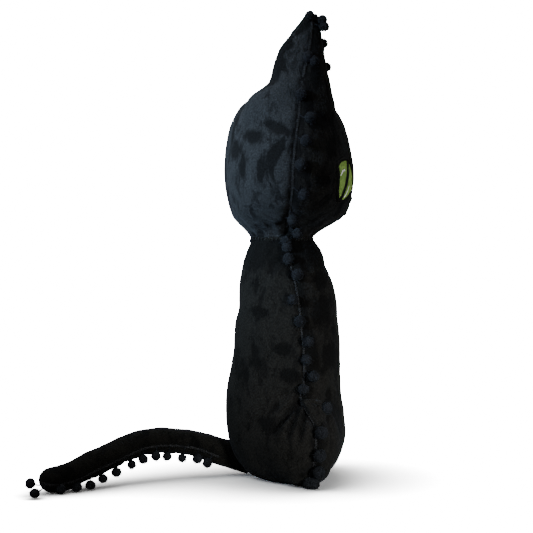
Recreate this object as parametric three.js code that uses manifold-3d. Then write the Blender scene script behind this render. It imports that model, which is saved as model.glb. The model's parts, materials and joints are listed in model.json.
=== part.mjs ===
// A stuffed toy cat: two-panel body and head with horn-like ears, a long tail, and pom-pom fringe in the seams.
// Millimetres, +Z up. The cat faces -Y, its right side is -X, and the origin is the middle of its base.
import * as THREE from 'three';
import { mergeVertices } from 'three/addons/utils/BufferGeometryUtils.js';
import Module from 'manifold-3d';

const wasm = await Module();
wasm.setup();

// ---- Driving sizes ----
const clothWall = 2;
const clearance = 0.3;

const bodyHeight = 206;
const bodyHalfWidth = 59;
const bodyFront = 47;
const bodyBack = 58;
const haunchRadius = 36;
const haunchReach = 27;
const haunchDepth = 30;
const pelletBagHeight = 36;

const neckLength = 16;
const neckHalfWidth = 27.5;
const neckFront = 18.5;
const neckBack = 34.5;
const neckRidge = 2;

const headHeight = 124;
const headHalfWidth = 88;
const headFront = 56;
const headBack = 58.5;

const earHeight = 57;
const earHalfWidth = 23.5;
const earSpread = 49;
const earRoot = 30;

const tapeThickness = 1;
const tapeProud = 2.5;
const ballRadius = 5;
const ballPitch = 15;
const stringLength = 2;
const stringRadius = 0.7;

const tailRadius = 11.2;
const tailCuts = [0, 78, 158];
const tailSectors = 10;
const tailSeamAngle = -20;
const tailBallAngle = -55;

const threadHeight = 0.8;
const eyeSpread = 46.5;
const eyeHeight = 264.4;
const eyeHalfWidth = 19;
const eyeHalfHeight = 19.1;
const outlineWidth = 2.6;
const hipLeafLength = 22;
const noseHeight = 250;
const noseHalfWidth = 6;

// ---- Places worked out from them ----
const neckBottom = bodyHeight;
const neckMiddle = neckBottom + neckLength / 2;
const headBottom = neckBottom + neckLength;
const crownHeight = headBottom + headHeight;
const earCut = crownHeight + clothWall;
const seamHalfGap = tapeThickness / 2 + clearance;
const ballReach = tapeProud + stringLength + ballRadius;
const farAway = 400;
const around = 20;
const sides = [['right', -1], ['left', 1]];

// ---- Finishes ----
const plush = new THREE.MeshStandardMaterial({ color: 0x131416, roughness: 0.95, metalness: 0 });
const fringe = new THREE.MeshStandardMaterial({ color: 0x0f1012, roughness: 0.9, metalness: 0 });
const blackThread = new THREE.MeshStandardMaterial({ color: 0x08080a, roughness: 0.45, metalness: 0 });
const greenThread = new THREE.MeshStandardMaterial({ color: 0x839543, roughness: 0.45, metalness: 0 });
const whiteThread = new THREE.MeshStandardMaterial({ color: 0xeeeee4, roughness: 0.45, metalness: 0 });
const fibre = new THREE.MeshStandardMaterial({ color: 0xf0efea, roughness: 1, metalness: 0 });
const bagCloth = new THREE.MeshStandardMaterial({ color: 0xcfc9b8, roughness: 0.9, metalness: 0 });

const group = new THREE.Group();

// ---- Solids: booleans on closed meshes ----
function merged(geometry) {
  const bare = geometry.clone();
  bare.deleteAttribute('normal');
  bare.deleteAttribute('uv');
  return mergeVertices(bare, 1e-4);
}

function solid(geometry) {
  const closed = merged(geometry);
  return new wasm.Manifold(new wasm.Mesh({
    numProp: 3,
    vertProperties: new Float32Array(closed.attributes.position.array),
    triVerts: new Uint32Array(closed.index.array),
  }));
}

function addPiece(name, shape, material) {
  const mesh = shape.getMesh();
  const geometry = new THREE.BufferGeometry();
  geometry.setAttribute('position', new THREE.BufferAttribute(mesh.vertProperties, 3));
  geometry.setIndex(new THREE.BufferAttribute(mesh.triVerts, 1));
  geometry.computeVertexNormals();
  const piece = new THREE.Mesh(geometry, material);
  piece.name = name;
  group.add(piece);
}

function block(low, high) {
  const size = new THREE.Vector3().subVectors(high, low);
  const middle = new THREE.Vector3().addVectors(low, high).multiplyScalar(0.5);
  return solid(new THREE.BoxGeometry(size.x, size.y, size.z).translate(middle.x, middle.y, middle.z));
}

function between(lowZ, highZ) {
  return block(new THREE.Vector3(-farAway, -farAway, lowZ), new THREE.Vector3(farAway, farAway, highZ));
}

function across(lowX, highX) {
  return block(new THREE.Vector3(lowX, -farAway, -farAway), new THREE.Vector3(highX, farAway, farAway));
}

// ---- Lofted soft forms ----
// A row is a level section: two half ellipses, front and back, that meet on the side seam.
function levels(rows, steps) {
  const shape = new THREE.CatmullRomCurve3(rows.map((r) => new THREE.Vector3(r.half, r.front, r.back)));
  const place = new THREE.CatmullRomCurve3(rows.map((r) => new THREE.Vector3(r.x ?? 0, r.seam, r.z)));
  const count = (rows.length - 1) * steps;
  return Array.from({ length: count + 1 }, (unused, i) => {
    const s = shape.getPoint(i / count);
    const p = place.getPoint(i / count);
    return { half: s.x, front: s.y, back: s.z, x: p.x, seam: p.y, z: p.z };
  });
}

function ringedGeometry(rings, start, end) {
  const sectors = rings[0].length;
  const points = [...rings.flat(), start, end];
  const index = [];
  for (let i = 0; i < rings.length - 1; i += 1) {
    for (let j = 0; j < sectors; j += 1) {
      const a = i * sectors + j;
      const b = i * sectors + (j + 1) % sectors;
      index.push(a, b, b + sectors, a, b + sectors, a + sectors);
    }
  }
  const last = (rings.length - 1) * sectors;
  for (let j = 0; j < sectors; j += 1) {
    const next = (j + 1) % sectors;
    index.push(points.length - 2, next, j);
    index.push(points.length - 1, last + j, last + next);
  }
  const geometry = new THREE.BufferGeometry().setFromPoints(points);
  geometry.setIndex(index);
  geometry.computeVertexNormals();
  return geometry;
}

function loft(sections, sectors, grow = 0) {
  const rings = sections.map((s) => Array.from({ length: sectors }, (unused, j) => {
    const angle = (2 * Math.PI * j) / sectors;
    const depth = Math.sin(angle) >= 0 ? s.back + grow - s.seam : s.seam - s.front + grow;
    const x = s.x + (s.half + grow) * Math.cos(angle);
    return new THREE.Vector3(x, s.seam + depth * Math.sin(angle), s.z);
  }));
  const first = sections[0];
  const top = sections[sections.length - 1];
  const start = new THREE.Vector3(first.x, first.seam, first.z);
  return ringedGeometry(rings, start, new THREE.Vector3(top.x, top.seam, top.z));
}

// The same closed form with its surface moved out by a distance, or in where it is negative.
function moved(geometry, distance) {
  const normals = geometry.attributes.normal;
  const shifted = geometry.clone();
  const place = new THREE.Vector3();
  const normal = new THREE.Vector3();
  for (let i = 0; i < normals.count; i += 1) {
    normal.fromBufferAttribute(normals, i);
    place.fromBufferAttribute(geometry.attributes.position, i).addScaledVector(normal, distance);
    shifted.attributes.position.setXYZ(i, place.x, place.y, place.z);
  }
  return shifted;
}

// A shape drawn in the YZ plane and run right across the toy along X.
function runAcross(points) {
  const depth = 2 * farAway;
  const shape = new THREE.Shape(points);
  const geometry = new THREE.ExtrudeGeometry(shape, { depth, bevelEnabled: false });
  const turned = new THREE.Matrix4().makeBasis(
    new THREE.Vector3(0, 1, 0),
    new THREE.Vector3(0, 0, 1),
    new THREE.Vector3(1, 0, 0),
  );
  return solid(geometry.applyMatrix4(turned).translate(-farAway, 0, 0));
}

// The three regions that a side seam makes: cloth in front of it, cloth behind it, and the tape in it.
function seamRegions(line) {
  const shift = (by) => line.map(([y, z]) => new THREE.Vector2(y + by, z));
  const low = line[0][1];
  const high = line[line.length - 1][1];
  const edge = (y) => [new THREE.Vector2(y, high), new THREE.Vector2(y, low)];
  return {
    front: runAcross([...shift(-seamHalfGap), ...edge(-farAway)]),
    back: runAcross([...shift(seamHalfGap), ...edge(farAway)]),
    tape: runAcross([...shift(-tapeThickness / 2), ...shift(tapeThickness / 2).reverse()]),
  };
}

// ---- Pom-pom fringe ----
function ballOnString(root, centre, grow = 0) {
  const along = new THREE.Vector3().subVectors(centre, root);
  const thickness = stringRadius + grow;
  const rope = new THREE.CylinderGeometry(thickness, thickness, along.length(), 3);
  const turn = new THREE.Quaternion().setFromUnitVectors(
    new THREE.Vector3(0, 1, 0),
    along.clone().normalize(),
  );
  const middle = new THREE.Vector3().addVectors(root, centre).multiplyScalar(0.5);
  rope.applyQuaternion(turn).translate(middle.x, middle.y, middle.z);
  const ball = new THREE.IcosahedronGeometry(ballRadius + grow, 0).translate(centre.x, centre.y, centre.z);
  return solid(ball).add(solid(rope));
}

// The braided tape: a strip that stands in the seam, along an edge with an outward direction at each point.
function tapeAlong(edge) {
  const list = edge.map(({ point, out }, i) => {
    const before = edge[Math.max(i - 1, 0)].point;
    const after = edge[Math.min(i + 1, edge.length - 1)].point;
    const travel = new THREE.Vector3().subVectors(after, before);
    const sideways = Math.sign(travel.clone().cross(out).y) * (tapeThickness / 2);
    const at = (reach, y) => {
      const place = point.clone().addScaledVector(out, reach);
      return place.setY(point.y + y);
    };
    return [
      at(2 * clearance - clothWall, -sideways),
      at(tapeProud, -sideways),
      at(tapeProud, sideways),
      at(2 * clearance - clothWall, sideways),
    ];
  });
  return solid(ringedGeometry(list, middleOf(list[0]), middleOf(list[list.length - 1])));
}

function middleOf(points) {
  return points.reduce((sum, p) => sum.add(p), new THREE.Vector3()).multiplyScalar(1 / points.length);
}

// Places at an even pitch along an edge, half a pitch in from its ends.
function evenly(edge, pitch) {
  const lengths = edge.slice(1).map((e, i) => e.point.distanceTo(edge[i].point));
  const total = lengths.reduce((sum, part) => sum + part, 0);
  const count = Math.max(Math.round(total / pitch), 1);
  return Array.from({ length: count }, (unused, k) => {
    let rest = (total * (k + 0.5)) / count;
    let i = 0;
    while (rest > lengths[i]) {
      rest -= lengths[i];
      i += 1;
    }
    const share = rest / lengths[i];
    const point = edge[i].point.clone().lerp(edge[i + 1].point, share);
    return { point, out: edge[i].out.clone().lerp(edge[i + 1].out, share).normalize() };
  });
}

// A run of fringe: the tape and its balls, each leaning forward of the seam by a share of its reach.
function fringeRun(edge, pitch, lean, grow = 0) {
  return evenly(edge, pitch).reduce((run, { point, out }) => {
    const centre = point.clone().addScaledVector(out.clone().setY(-lean).normalize(), ballReach);
    centre.z = Math.max(centre.z, ballRadius + 2 * clearance);
    return run.add(ballOnString(point.addScaledVector(out, tapeProud / 2), centre, grow));
  }, tapeAlong(edge));
}

// ---- Body ----
const bodyShares = [
  [0, 0.68, 0.6, 0.42, -14],
  [0.03, 0.88, 0.81, 0.66, -14],
  [0.09, 0.97, 0.93, 0.84, -16],
  [0.18, 1, 1, 0.95, -19.5],
  [0.29, 0.98, 0.98, 1, -19],
  [0.4, 0.96, 0.91, 0.96, -12.5],
  [0.57, 0.91, 0.91, 0.87, -10],
  [0.75, 0.82, 0.83, 0.8, -6],
  [0.9, 0.68, 0.68, 0.71, 0],
  [1, 0.525, 0.46, 0.61, 4],
];
const bodyRows = bodyShares.map(([z, half, front, back, seam]) => ({
  z: z * bodyHeight,
  half: half * bodyHalfWidth,
  front: -front * bodyFront,
  back: back * bodyBack,
  seam,
}));
const neckRow = { z: neckMiddle, half: neckHalfWidth, front: -neckFront, back: neckBack, seam: 5 };
const bodyLevels = levels([...bodyRows, neckRow], 1);
const bodyForm = loft(bodyLevels, around);
const haunchY = -15.5;
const haunchX = bodyHalfWidth * 0.88;

function haunch(side, grow) {
  const ball = new THREE.SphereGeometry(1, 12, 8).rotateX(Math.PI / 2);
  ball.scale(haunchReach + grow, haunchDepth + grow, haunchRadius + grow);
  return solid(ball.translate(side * haunchX, haunchY, haunchRadius));
}

function bodySolid(grow) {
  let whole = solid(grow === 0 ? bodyForm : moved(bodyForm, grow));
  sides.forEach(([, side]) => {
    whole = whole.add(haunch(side, grow));
  });
  return whole;
}

const bodySpan = between(-ballRadius, neckBottom);
const bodySeam = seamRegions([
  [bodyRows[0].seam, -2 * ballRadius],
  ...bodyLevels.map((s) => [s.seam, s.z]),
]);
const bodyOuter = bodySolid(0);
const bodyCavity = bodySolid(-clothWall);
const bodyShell = bodyOuter.subtract(bodyCavity).intersect(bodySpan);
const bodyFill = bodySolid(-clothWall - clearance).intersect(between(0, neckBottom - clearance));
addPiece('body_front_panel', bodyShell.intersect(bodySeam.front), plush);
addPiece('body_back_panel', bodyShell.intersect(bodySeam.back), plush);
addPiece('body_filling', bodyFill.intersect(between(pelletBagHeight, neckBottom)), fibre);
addPiece('pellet_bag', bodyFill.intersect(between(0, pelletBagHeight - clearance)), bagCloth);

function bodyEdge(z) {
  const spot = bodyLevels.findIndex((s) => s.z >= z);
  const upper = bodyLevels[Math.max(spot, 1)];
  const lower = bodyLevels[Math.max(spot, 1) - 1];
  const share = (z - lower.z) / (upper.z - lower.z);
  const half = THREE.MathUtils.lerp(lower.half, upper.half, share);
  const rise = (z - haunchRadius) / haunchRadius;
  const seam = THREE.MathUtils.lerp(lower.seam, upper.seam, share);
  const room = 1 - rise * rise - ((seam - haunchY) / haunchDepth) ** 2;
  const lobe = room > 0 ? haunchX + haunchReach * Math.sqrt(room) : 0;
  return { half: Math.max(half, lobe), seam };
}

const trimBottom = ballRadius + 3 * clearance;

function bodyTrim(side, grow = 0) {
  const top = neckBottom - 4;
  const lobe = [0.5, 0.8, 1.2, 1.83, 2].map((share) => share * haunchRadius);
  const stations = [trimBottom, ...lobe, ...bodyLevels.map((s) => s.z), top];
  const heights = stations.filter((z) => z >= trimBottom && z <= top).sort((a, b) => a - b);
  return fringeRun(heights.map((z) => {
    const edge = bodyEdge(z);
    return { point: new THREE.Vector3(side * edge.half, edge.seam, z), out: new THREE.Vector3(side, 0, 0) };
  }), ballPitch, 0.3, grow);
}

// The leaf of cloth that folds out of the seam's inner corner above the haunch.
const leafTop = 2 * haunchRadius;
const leafOutline = new THREE.Shape()
  .moveTo(haunchY + 7, leafTop)
  .quadraticCurveTo(haunchY - 2, leafTop + 3, haunchY - 12, leafTop - 5)
  .quadraticCurveTo(haunchY - 10, leafTop - 14, haunchY - 3, leafTop - hipLeafLength)
  .quadraticCurveTo(haunchY + 3, leafTop - 10, haunchY + 7, leafTop);
const leafPrism = runAcross(leafOutline.getPoints(4).slice(1));
const leafLayer = bodySolid(clothWall + 2 * clearance).subtract(bodySolid(2 * clearance));
sides.forEach(([name, side]) => {
  const half = side > 0 ? across(0, farAway) : across(-farAway, 0);
  addPiece(`body_trim_${name}`, bodyTrim(side), fringe);
  const leaf = leafLayer.intersect(leafPrism).intersect(half);
  const clear = leaf.intersect(bodySeam.front).subtract(bodyTrim(side, 2 * clearance));
  const largest = clear.decompose().reduce((best, part) => (part.volume() > best.volume() ? part : best));
  addPiece(`hip_fold_${name}`, largest, plush);
});
const closingHalf = bodyHalfWidth * 0.6;
const closing = bodyOuter.subtract(bodyCavity).intersect(bodySeam.tape);
const closingSpan = across(-closingHalf, closingHalf).intersect(between(-1, trimBottom - clearance));
addPiece('base_closing_seam', closing.intersect(closingSpan), blackThread);

// ---- Head and ears ----
const headShares = [
  [0, 0.39, 0.48, 0.69, 4],
  [0.07, 0.64, 0.75, 0.84, 3],
  [0.145, 0.81, 0.87, 0.91, 1.5],
  [0.25, 0.945, 0.95, 0.96, 0],
  [0.39, 1, 1, 1, -0.7],
  [0.55, 0.99, 0.955, 1, -2],
  [0.71, 0.93, 0.875, 0.94, -5],
  [0.83, 0.85, 0.77, 0.82, -6.5],
  [0.92, 0.7, 0.62, 0.63, -7.6],
  [0.975, 0.48, 0.43, 0.4, -8.4],
  [1, 0.2, 0.25, 0.09, -9],
];
const headRows = headShares.map(([z, half, front, back, seam]) => ({
  z: headBottom + z * headHeight,
  half: half * headHalfWidth,
  front: -front * headFront,
  back: back * headBack,
  seam,
}));
const headLevels = levels([neckRow, ...headRows], 1);
const headForm = loft(headLevels, 24);

// Each ear row: height above the cut as a share of the ear, spread and half-width as shares, front, back, seam.
const earShares = [
  [-earRoot / earHeight, 1.02, 1.12, -36, 36, -5.8],
  [-0.27, 1, 1.1, -35, 30, -7.2],
  [0, 1, 1, -33, 22, -9],
  [0.25, 1.04, 0.77, -29, 17, -12],
  [0.5, 1.1, 0.53, -25.5, 9, -15],
  [0.74, 1.16, 0.32, -23, -1, -16.8],
  [0.92, 1.2, 0.18, -21.5, -9.5, -17.6],
  [1, 1.215, 0.09, -20, -14, -17.8],
];

function earLevels(side, heightCut = 0) {
  const tall = earHeight - heightCut;
  return levels(earShares.map(([z, spread, half, front, back, seam]) => ({
    z: earCut + z * (z > 0 ? tall : earHeight),
    x: side * spread * earSpread,
    half: half * earHalfWidth,
    front,
    back,
    seam,
  })), 1);
}

function earSolid(side, grow) {
  const narrowed = grow < 0 ? 3.5 * -grow : 0;
  const sections = earLevels(side, narrowed).map((s) => {
    const room = Math.min(s.half, (s.back - s.front) / 2) - 0.6;
    return { ...s, shift: Math.max(grow, -room) };
  });
  const shaped = sections.map((s) => ({
    ...s,
    half: s.half + s.shift,
    front: s.front - s.shift,
    back: s.back + s.shift,
  }));
  return solid(loft(shaped, 14));
}

function headSolid(grow) {
  let whole = solid(grow === 0 ? headForm : moved(headForm, grow));
  sides.forEach(([, side]) => {
    whole = whole.add(earSolid(side, grow));
  });
  return whole;
}

const earLine = earLevels(1).filter((s) => s.z > earCut - 1);
const earPivotY = earShares[2][5];
const headLine = [
  ...headLevels.filter((s) => s.z < crownHeight - 2).map((s) => [s.seam, s.z]),
  ...earLine.map((s) => [s.seam, s.z]),
  [earLine[earLine.length - 1].seam, earCut + earHeight + 2 * ballRadius],
];
const headSeam = seamRegions(headLine);
const headOuter = headSolid(0);
const headCavity = headSolid(-clothWall);
const headShell = headOuter.subtract(headCavity);
const headSpan = between(headBottom, earCut - clearance / 2);
const earSpan = between(earCut + clearance / 2, earCut + 2 * earHeight);
addPiece('head_front_panel', headShell.intersect(headSpan).intersect(headSeam.front), plush);
addPiece('head_back_panel', headShell.intersect(headSpan).intersect(headSeam.back), plush);
const headFillSpan = between(headBottom + clearance, earCut - clothWall);
const headFill = solid(moved(headForm, -clothWall - clearance));
addPiece('head_filling', headFill.intersect(headFillSpan), fibre);


function seamAt(line, z) {
  const upper = line.findIndex(([, height]) => height >= z);
  const [y1, z1] = line[upper];
  const [y0, z0] = line[upper - 1];
  return THREE.MathUtils.mapLinear(z, z0, z1, y0, y1);
}

function halfAt(list, z, reach) {
  const upper = list.findIndex((s) => s.z >= z);
  if (upper < 1) return 0;
  return THREE.MathUtils.mapLinear(z, list[upper - 1].z, list[upper].z, reach(list[upper - 1]), reach(list[upper]));
}

function seamEdge(x, z, outX, outZ) {
  return { point: new THREE.Vector3(x, seamAt(headLine, z), z), out: new THREE.Vector3(outX, 0, outZ) };
}

sides.forEach(([name, side]) => {
  const ear = earLevels(side);
  const half = side > 0 ? across(0, farAway) : across(-farAway, 0);
  const shell = headShell.intersect(earSpan).intersect(half);
  addPiece(`ear_${name}_front_panel`, shell.intersect(headSeam.front), plush);
  addPiece(`ear_${name}_back_panel`, shell.intersect(headSeam.back), plush);

  const wad = earSolid(side, -clothWall - clearance).intersect(between(earCut + 1, earCut + 2 * earHeight));
  const bowl = new THREE.SphereGeometry(1, 12, 8).rotateX(Math.PI / 2);
  bowl.scale(earHalfWidth * 0.9, earHalfWidth, earHeight);
  bowl.translate(side * earSpread, earPivotY, earCut + earHeight + 1);
  addPiece(`ear_${name}_filling`, wad.intersect(solid(bowl)), fibre);

  const heights = [...headLevels, ...ear].map((s) => s.z).sort((a, b) => a - b);
  const cheek = heights.filter((z) => z > headBottom + 4 && z < earCut - ballRadius);
  const outline = cheek.map((z) => {
    const head = halfAt(headLevels, z, (s) => s.half);
    const root = halfAt(ear, z, (s) => side * s.x + s.half);
    return seamEdge(side * Math.max(head, root), z, side, 0);
  });
  addPiece(`head_trim_${name}`, fringeRun(outline, ballPitch, 0.35), fringe);

  const upper = ear.filter((s) => s.z > earCut + 10);
  const tip = upper.pop();
  const rim = [
    ...upper.map((s) => seamEdge(s.x + side * s.half, s.z, side, 0)),
    seamEdge(tip.x, tip.z - tapeProud, 0, 1),
    ...upper.reverse().map((s) => seamEdge(s.x - side * s.half, s.z, -side, 0)),
  ];
  addPiece(`ear_${name}_trim`, fringeRun(rim, 1.2 * ballPitch, 0.2), fringe);
});

const crownHalf = earSpread - earHalfWidth - clothWall;
const crownTop = headRows[headRows.length - 1];
const crownEdge = [-1, -0.6, 0, 0.6, 1].map((share) => seamEdge(share * crownHalf, crownTop.z, 0, 1));
addPiece('crown_trim', fringeRun(crownEdge, ballPitch, 0.2), fringe);

// ---- Neck ----
const neckLevels = levels([bodyRows[bodyRows.length - 1], neckRow, headRows[0]], 2);
const neckForm = loft(neckLevels, around);
const neckSpan = between(neckBottom + clearance, headBottom - clearance);
const neckInside = solid(loft(neckLevels, around, -clothWall));
addPiece('neck_gather', solid(neckForm).subtract(neckInside).intersect(neckSpan), plush);
addPiece('neck_filling', solid(loft(neckLevels, around, -clothWall - clearance)).intersect(neckSpan), fibre);
const ridge = solid(loft(neckLevels, around, neckRidge + clearance)).subtract(solid(loft(neckLevels, around, clearance)));
addPiece('neck_seam_ridge', ridge.intersect(between(neckMiddle - 1.5, neckMiddle + 1.5)), blackThread);

// ---- Embroidered face, laid on the head's front ----
const faceLayer = solid(moved(headForm, clearance + threadHeight)).subtract(solid(moved(headForm, clearance)));

// A shape drawn in the XZ plane and pressed through the front of the head.
function onFace(points, x, z, side = 1) {
  const drawn = points.map((p) => new THREE.Vector2(side * p.x, p.y));
  const geometry = new THREE.ExtrudeGeometry(new THREE.Shape(drawn), { depth: farAway, bevelEnabled: false });
  const turned = new THREE.Matrix4().makeBasis(
    new THREE.Vector3(1, 0, 0),
    new THREE.Vector3(0, 0, 1),
    new THREE.Vector3(0, -1, 0),
  );
  return solid(geometry.applyMatrix4(turned).translate(side * x, 0, z));
}

function eyeOutline(inset) {
  const w = eyeHalfWidth - inset;
  const h = eyeHalfHeight - inset;
  return new THREE.Shape()
    .moveTo(-w, -0.35 * h)
    .quadraticCurveTo(-0.75 * w, 0.8 * h, 0.1 * w, h)
    .quadraticCurveTo(0.6 * w, h, w, 0.6 * h)
    .quadraticCurveTo(w, -0.7 * h, 0.15 * w, -h)
    .quadraticCurveTo(-0.7 * w, -1.05 * h, -w, -0.35 * h)
    .getPoints(4).slice(1);
}

// A narrow leaf between two points, bowed sideways, with its widest place in the middle.
function leaf(from, to, halfWidth, bow) {
  const along = new THREE.Vector2().subVectors(to, from);
  const sideways = new THREE.Vector2(-along.y, along.x).normalize();
  const middle = from.clone().add(to).multiplyScalar(0.5);
  const left = middle.clone().addScaledVector(sideways, bow + 2 * halfWidth);
  const right = middle.clone().addScaledVector(sideways, bow - 2 * halfWidth);
  return new THREE.Shape()
    .moveTo(from.x, from.y)
    .quadraticCurveTo(left.x, left.y, to.x, to.y)
    .quadraticCurveTo(right.x, right.y, from.x, from.y)
    .getPoints(4).slice(1);
}

const slitTop = new THREE.Vector2(0.08 * eyeHalfWidth, 0.8 * eyeHalfHeight);
const slitBottom = new THREE.Vector2(0.32 * eyeHalfWidth, -0.78 * eyeHalfHeight);
const slitHalf = 0.11 * eyeHalfWidth;
const commaFrom = new THREE.Vector2(0.46 * eyeHalfWidth, 0.43 * eyeHalfHeight);
const commaTo = new THREE.Vector2(0.72 * eyeHalfWidth, 0.17 * eyeHalfHeight);
const crescentFrom = new THREE.Vector2(-0.3 * eyeHalfWidth, -0.22 * eyeHalfHeight);
const crescentTo = new THREE.Vector2(-0.08 * eyeHalfWidth, -0.72 * eyeHalfHeight);

sides.forEach(([name, side]) => {
  const press = (points) => onFace(points, eyeSpread, eyeHeight, side);
  const slit = press(leaf(slitTop, slitBottom, slitHalf, 0));
  const slitRoom = press(leaf(slitTop, slitBottom, slitHalf + clearance, 0));
  const comma = press(leaf(commaFrom, commaTo, 1, 0.8));
  const commaRoom = press(leaf(commaFrom, commaTo, 1 + clearance, 0.8));
  const crescent = press(leaf(crescentFrom, crescentTo, 0.7, -2));
  const crescentRoom = press(leaf(crescentFrom, crescentTo, 0.7 + clearance, -2));
  const front = faceLayer.intersect(headSeam.front);
  const outline = front.intersect(press(eyeOutline(0))).subtract(press(eyeOutline(outlineWidth)));
  addPiece(`eye_${name}_outline`, outline, blackThread);
  const irisRoom = press(eyeOutline(outlineWidth + clearance));
  const iris = front.intersect(irisRoom);
  addPiece(`eye_${name}_iris`, iris.subtract(slitRoom).subtract(commaRoom).subtract(crescentRoom), greenThread);
  addPiece(`eye_${name}_pupil`, front.intersect(slit).intersect(irisRoom), blackThread);
  addPiece(`eye_${name}_comma`, front.intersect(comma), whiteThread);
  addPiece(`eye_${name}_crescent`, front.intersect(crescent), whiteThread);
});

const noseOutline = new THREE.Shape()
  .moveTo(-noseHalfWidth, 3)
  .quadraticCurveTo(0, 5, noseHalfWidth, 3)
  .quadraticCurveTo(noseHalfWidth * 0.6, -2, 0, -4)
  .quadraticCurveTo(-noseHalfWidth * 0.6, -2, -noseHalfWidth, 3)
  .getPoints(3).slice(1);
const faceFront = faceLayer.intersect(headSeam.front);
addPiece('nose_stitching', faceFront.intersect(onFace(noseOutline, 0, noseHeight)), blackThread);
const mouthTop = new THREE.Vector2(0, -4.5);
const mouthFork = new THREE.Vector2(0, -10);
let mouth = onFace(leaf(mouthTop, mouthFork.clone().add(new THREE.Vector2(0, -1)), 0.9, 0), 0, noseHeight);
sides.forEach(([, side]) => {
  const corner = new THREE.Vector2(side * 9, -12);
  mouth = mouth.add(onFace(leaf(mouthFork, corner, 0.9, side * -4), 0, noseHeight));
});
addPiece('mouth_stitching', faceFront.intersect(mouth), blackThread);

// ---- Tail ----
const tailRootHeight = 24;
const tailRootX = 7;
const tailRootY = 0.87 * bodyBack + tailRadius + 1;
const tailPath = new THREE.CatmullRomCurve3([
  new THREE.Vector3(tailRootX, tailRootY, tailRootHeight),
  new THREE.Vector3(0, tailRootY + 29, tailRootHeight + 11),
  new THREE.Vector3(-22, tailRootY + 68, tailRootHeight + 11.5),
  new THREE.Vector3(-58, tailRootY + 107, tailRootHeight - 2),
  new THREE.Vector3(-80, tailRootY + 134, tailRadius + 1),
  new THREE.Vector3(-95, tailRootY + 158, tailRadius),
]);
const tailLength = tailPath.getLength();

function tailFrame(distance) {
  const t = THREE.MathUtils.clamp(distance / tailLength, 0, 1);
  const centre = tailPath.getPointAt(t);
  const tangent = tailPath.getTangentAt(t);
  const over = THREE.MathUtils.clamp(distance, 0, tailLength) - distance;
  centre.addScaledVector(tangent, -over);
  const right = new THREE.Vector3().crossVectors(new THREE.Vector3(0, 0, 1), tangent).normalize();
  const up = new THREE.Vector3().crossVectors(tangent, right).normalize();
  return { centre, right, up };
}

function tailPoint(distance, degrees, radius) {
  const { centre, right, up } = tailFrame(distance);
  const angle = THREE.MathUtils.degToRad(degrees);
  return centre.addScaledVector(right, radius * Math.cos(angle)).addScaledVector(up, radius * Math.sin(angle));
}

// A stretch of the tail, round at both ends. The first end is centred on the joint it turns about.
function tailStretch(from, to, shrink) {
  const radius = tailRadius - shrink;
  const caps = [60, 25];
  const stations = [
    ...caps.map((a) => [from - radius * Math.sin((a * Math.PI) / 180), Math.cos((a * Math.PI) / 180)]),
    ...Array.from({ length: 4 }, (unused, i) => [THREE.MathUtils.lerp(from, to, i / 3), 1]),
    ...caps.reverse().map((a) => [to + radius * Math.sin((a * Math.PI) / 180), Math.cos((a * Math.PI) / 180)]),
  ];
  const rings = stations.map(([s, share]) => Array.from(
    { length: tailSectors },
    (unused, j) => tailPoint(s, (360 * j) / tailSectors, radius * share),
  ));
  return solid(ringedGeometry(rings, tailPoint(from - radius, 0, 0), tailPoint(to + radius, 0, 0)));
}

function tailRibbon(from, to, inner, outer, thickness) {
  const count = 6;
  const rings = Array.from({ length: count + 1 }, (unused, i) => {
    const s = THREE.MathUtils.lerp(from, to, i / count);
    const low = tailPoint(s, tailSeamAngle, inner);
    const high = tailPoint(s, tailSeamAngle, outer);
    const { centre, right, up } = tailFrame(s);
    const angle = THREE.MathUtils.degToRad(tailSeamAngle + 90);
    const sideways = right.multiplyScalar(Math.cos(angle)).addScaledVector(up, Math.sin(angle));
    sideways.multiplyScalar(thickness / 2);
    return {
      middle: centre,
      ring: [
        low.clone().sub(sideways),
        high.clone().sub(sideways),
        high.clone().add(sideways),
        low.clone().add(sideways),
      ],
    };
  });
  const list = rings.map((r) => r.ring);
  return solid(ringedGeometry(list, middleOf(list[0]), middleOf(list[list.length - 1])));
}

const tailNames = ['base', 'middle', 'tip'];
tailNames.forEach((name, i) => {
  const from = tailCuts[i];
  const last = i === tailNames.length - 1;
  const to = last ? tailLength - tailRadius : tailCuts[i + 1] - 2 * tailRadius - 2 * clearance;
  const outer = tailStretch(from, to, 0);
  const hollow = tailStretch(from, to, clothWall);
  const slitFrom = from - tailRadius / 2;
  const slitTo = to + tailRadius / 2;
  const slit = tailRibbon(slitFrom, slitTo, tailRadius - 2 * clothWall, 2 * tailRadius, 2 * seamHalfGap);
  addPiece(`tail_${name}_cover`, outer.subtract(hollow).subtract(slit), plush);
  addPiece(`tail_${name}_filling`, tailStretch(from, to, clothWall + clearance), fibre);
  const tapeFrom = from - tailRadius / 3;
  const tapeTo = to + tailRadius / 3;
  const inner = tailRadius - clothWall + clearance;
  let run = tailRibbon(tapeFrom, tapeTo, inner, tailRadius + tapeProud, tapeThickness);
  const count = Math.round((to - from) / ballPitch);
  for (let k = 0; k <= count; k += 1) {
    const s = THREE.MathUtils.lerp(from, to, k / count);
    const away = tailRadius + stringLength + ballRadius;
    const drop = (tailFrame(s).centre.z - ballRadius - 2 * clearance) / away;
    const steepest = -THREE.MathUtils.radToDeg(Math.asin(Math.min(drop, 1)));
    const root = tailPoint(s, tailSeamAngle, tailRadius + tapeProud / 2);
    const hang = tailPoint(s, Math.max(tailBallAngle, steepest), away);
    run = run.add(ballOnString(root, hang));
  }
  addPiece(`tail_${name}_trim`, run, fringe);
});

export default group;
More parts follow.
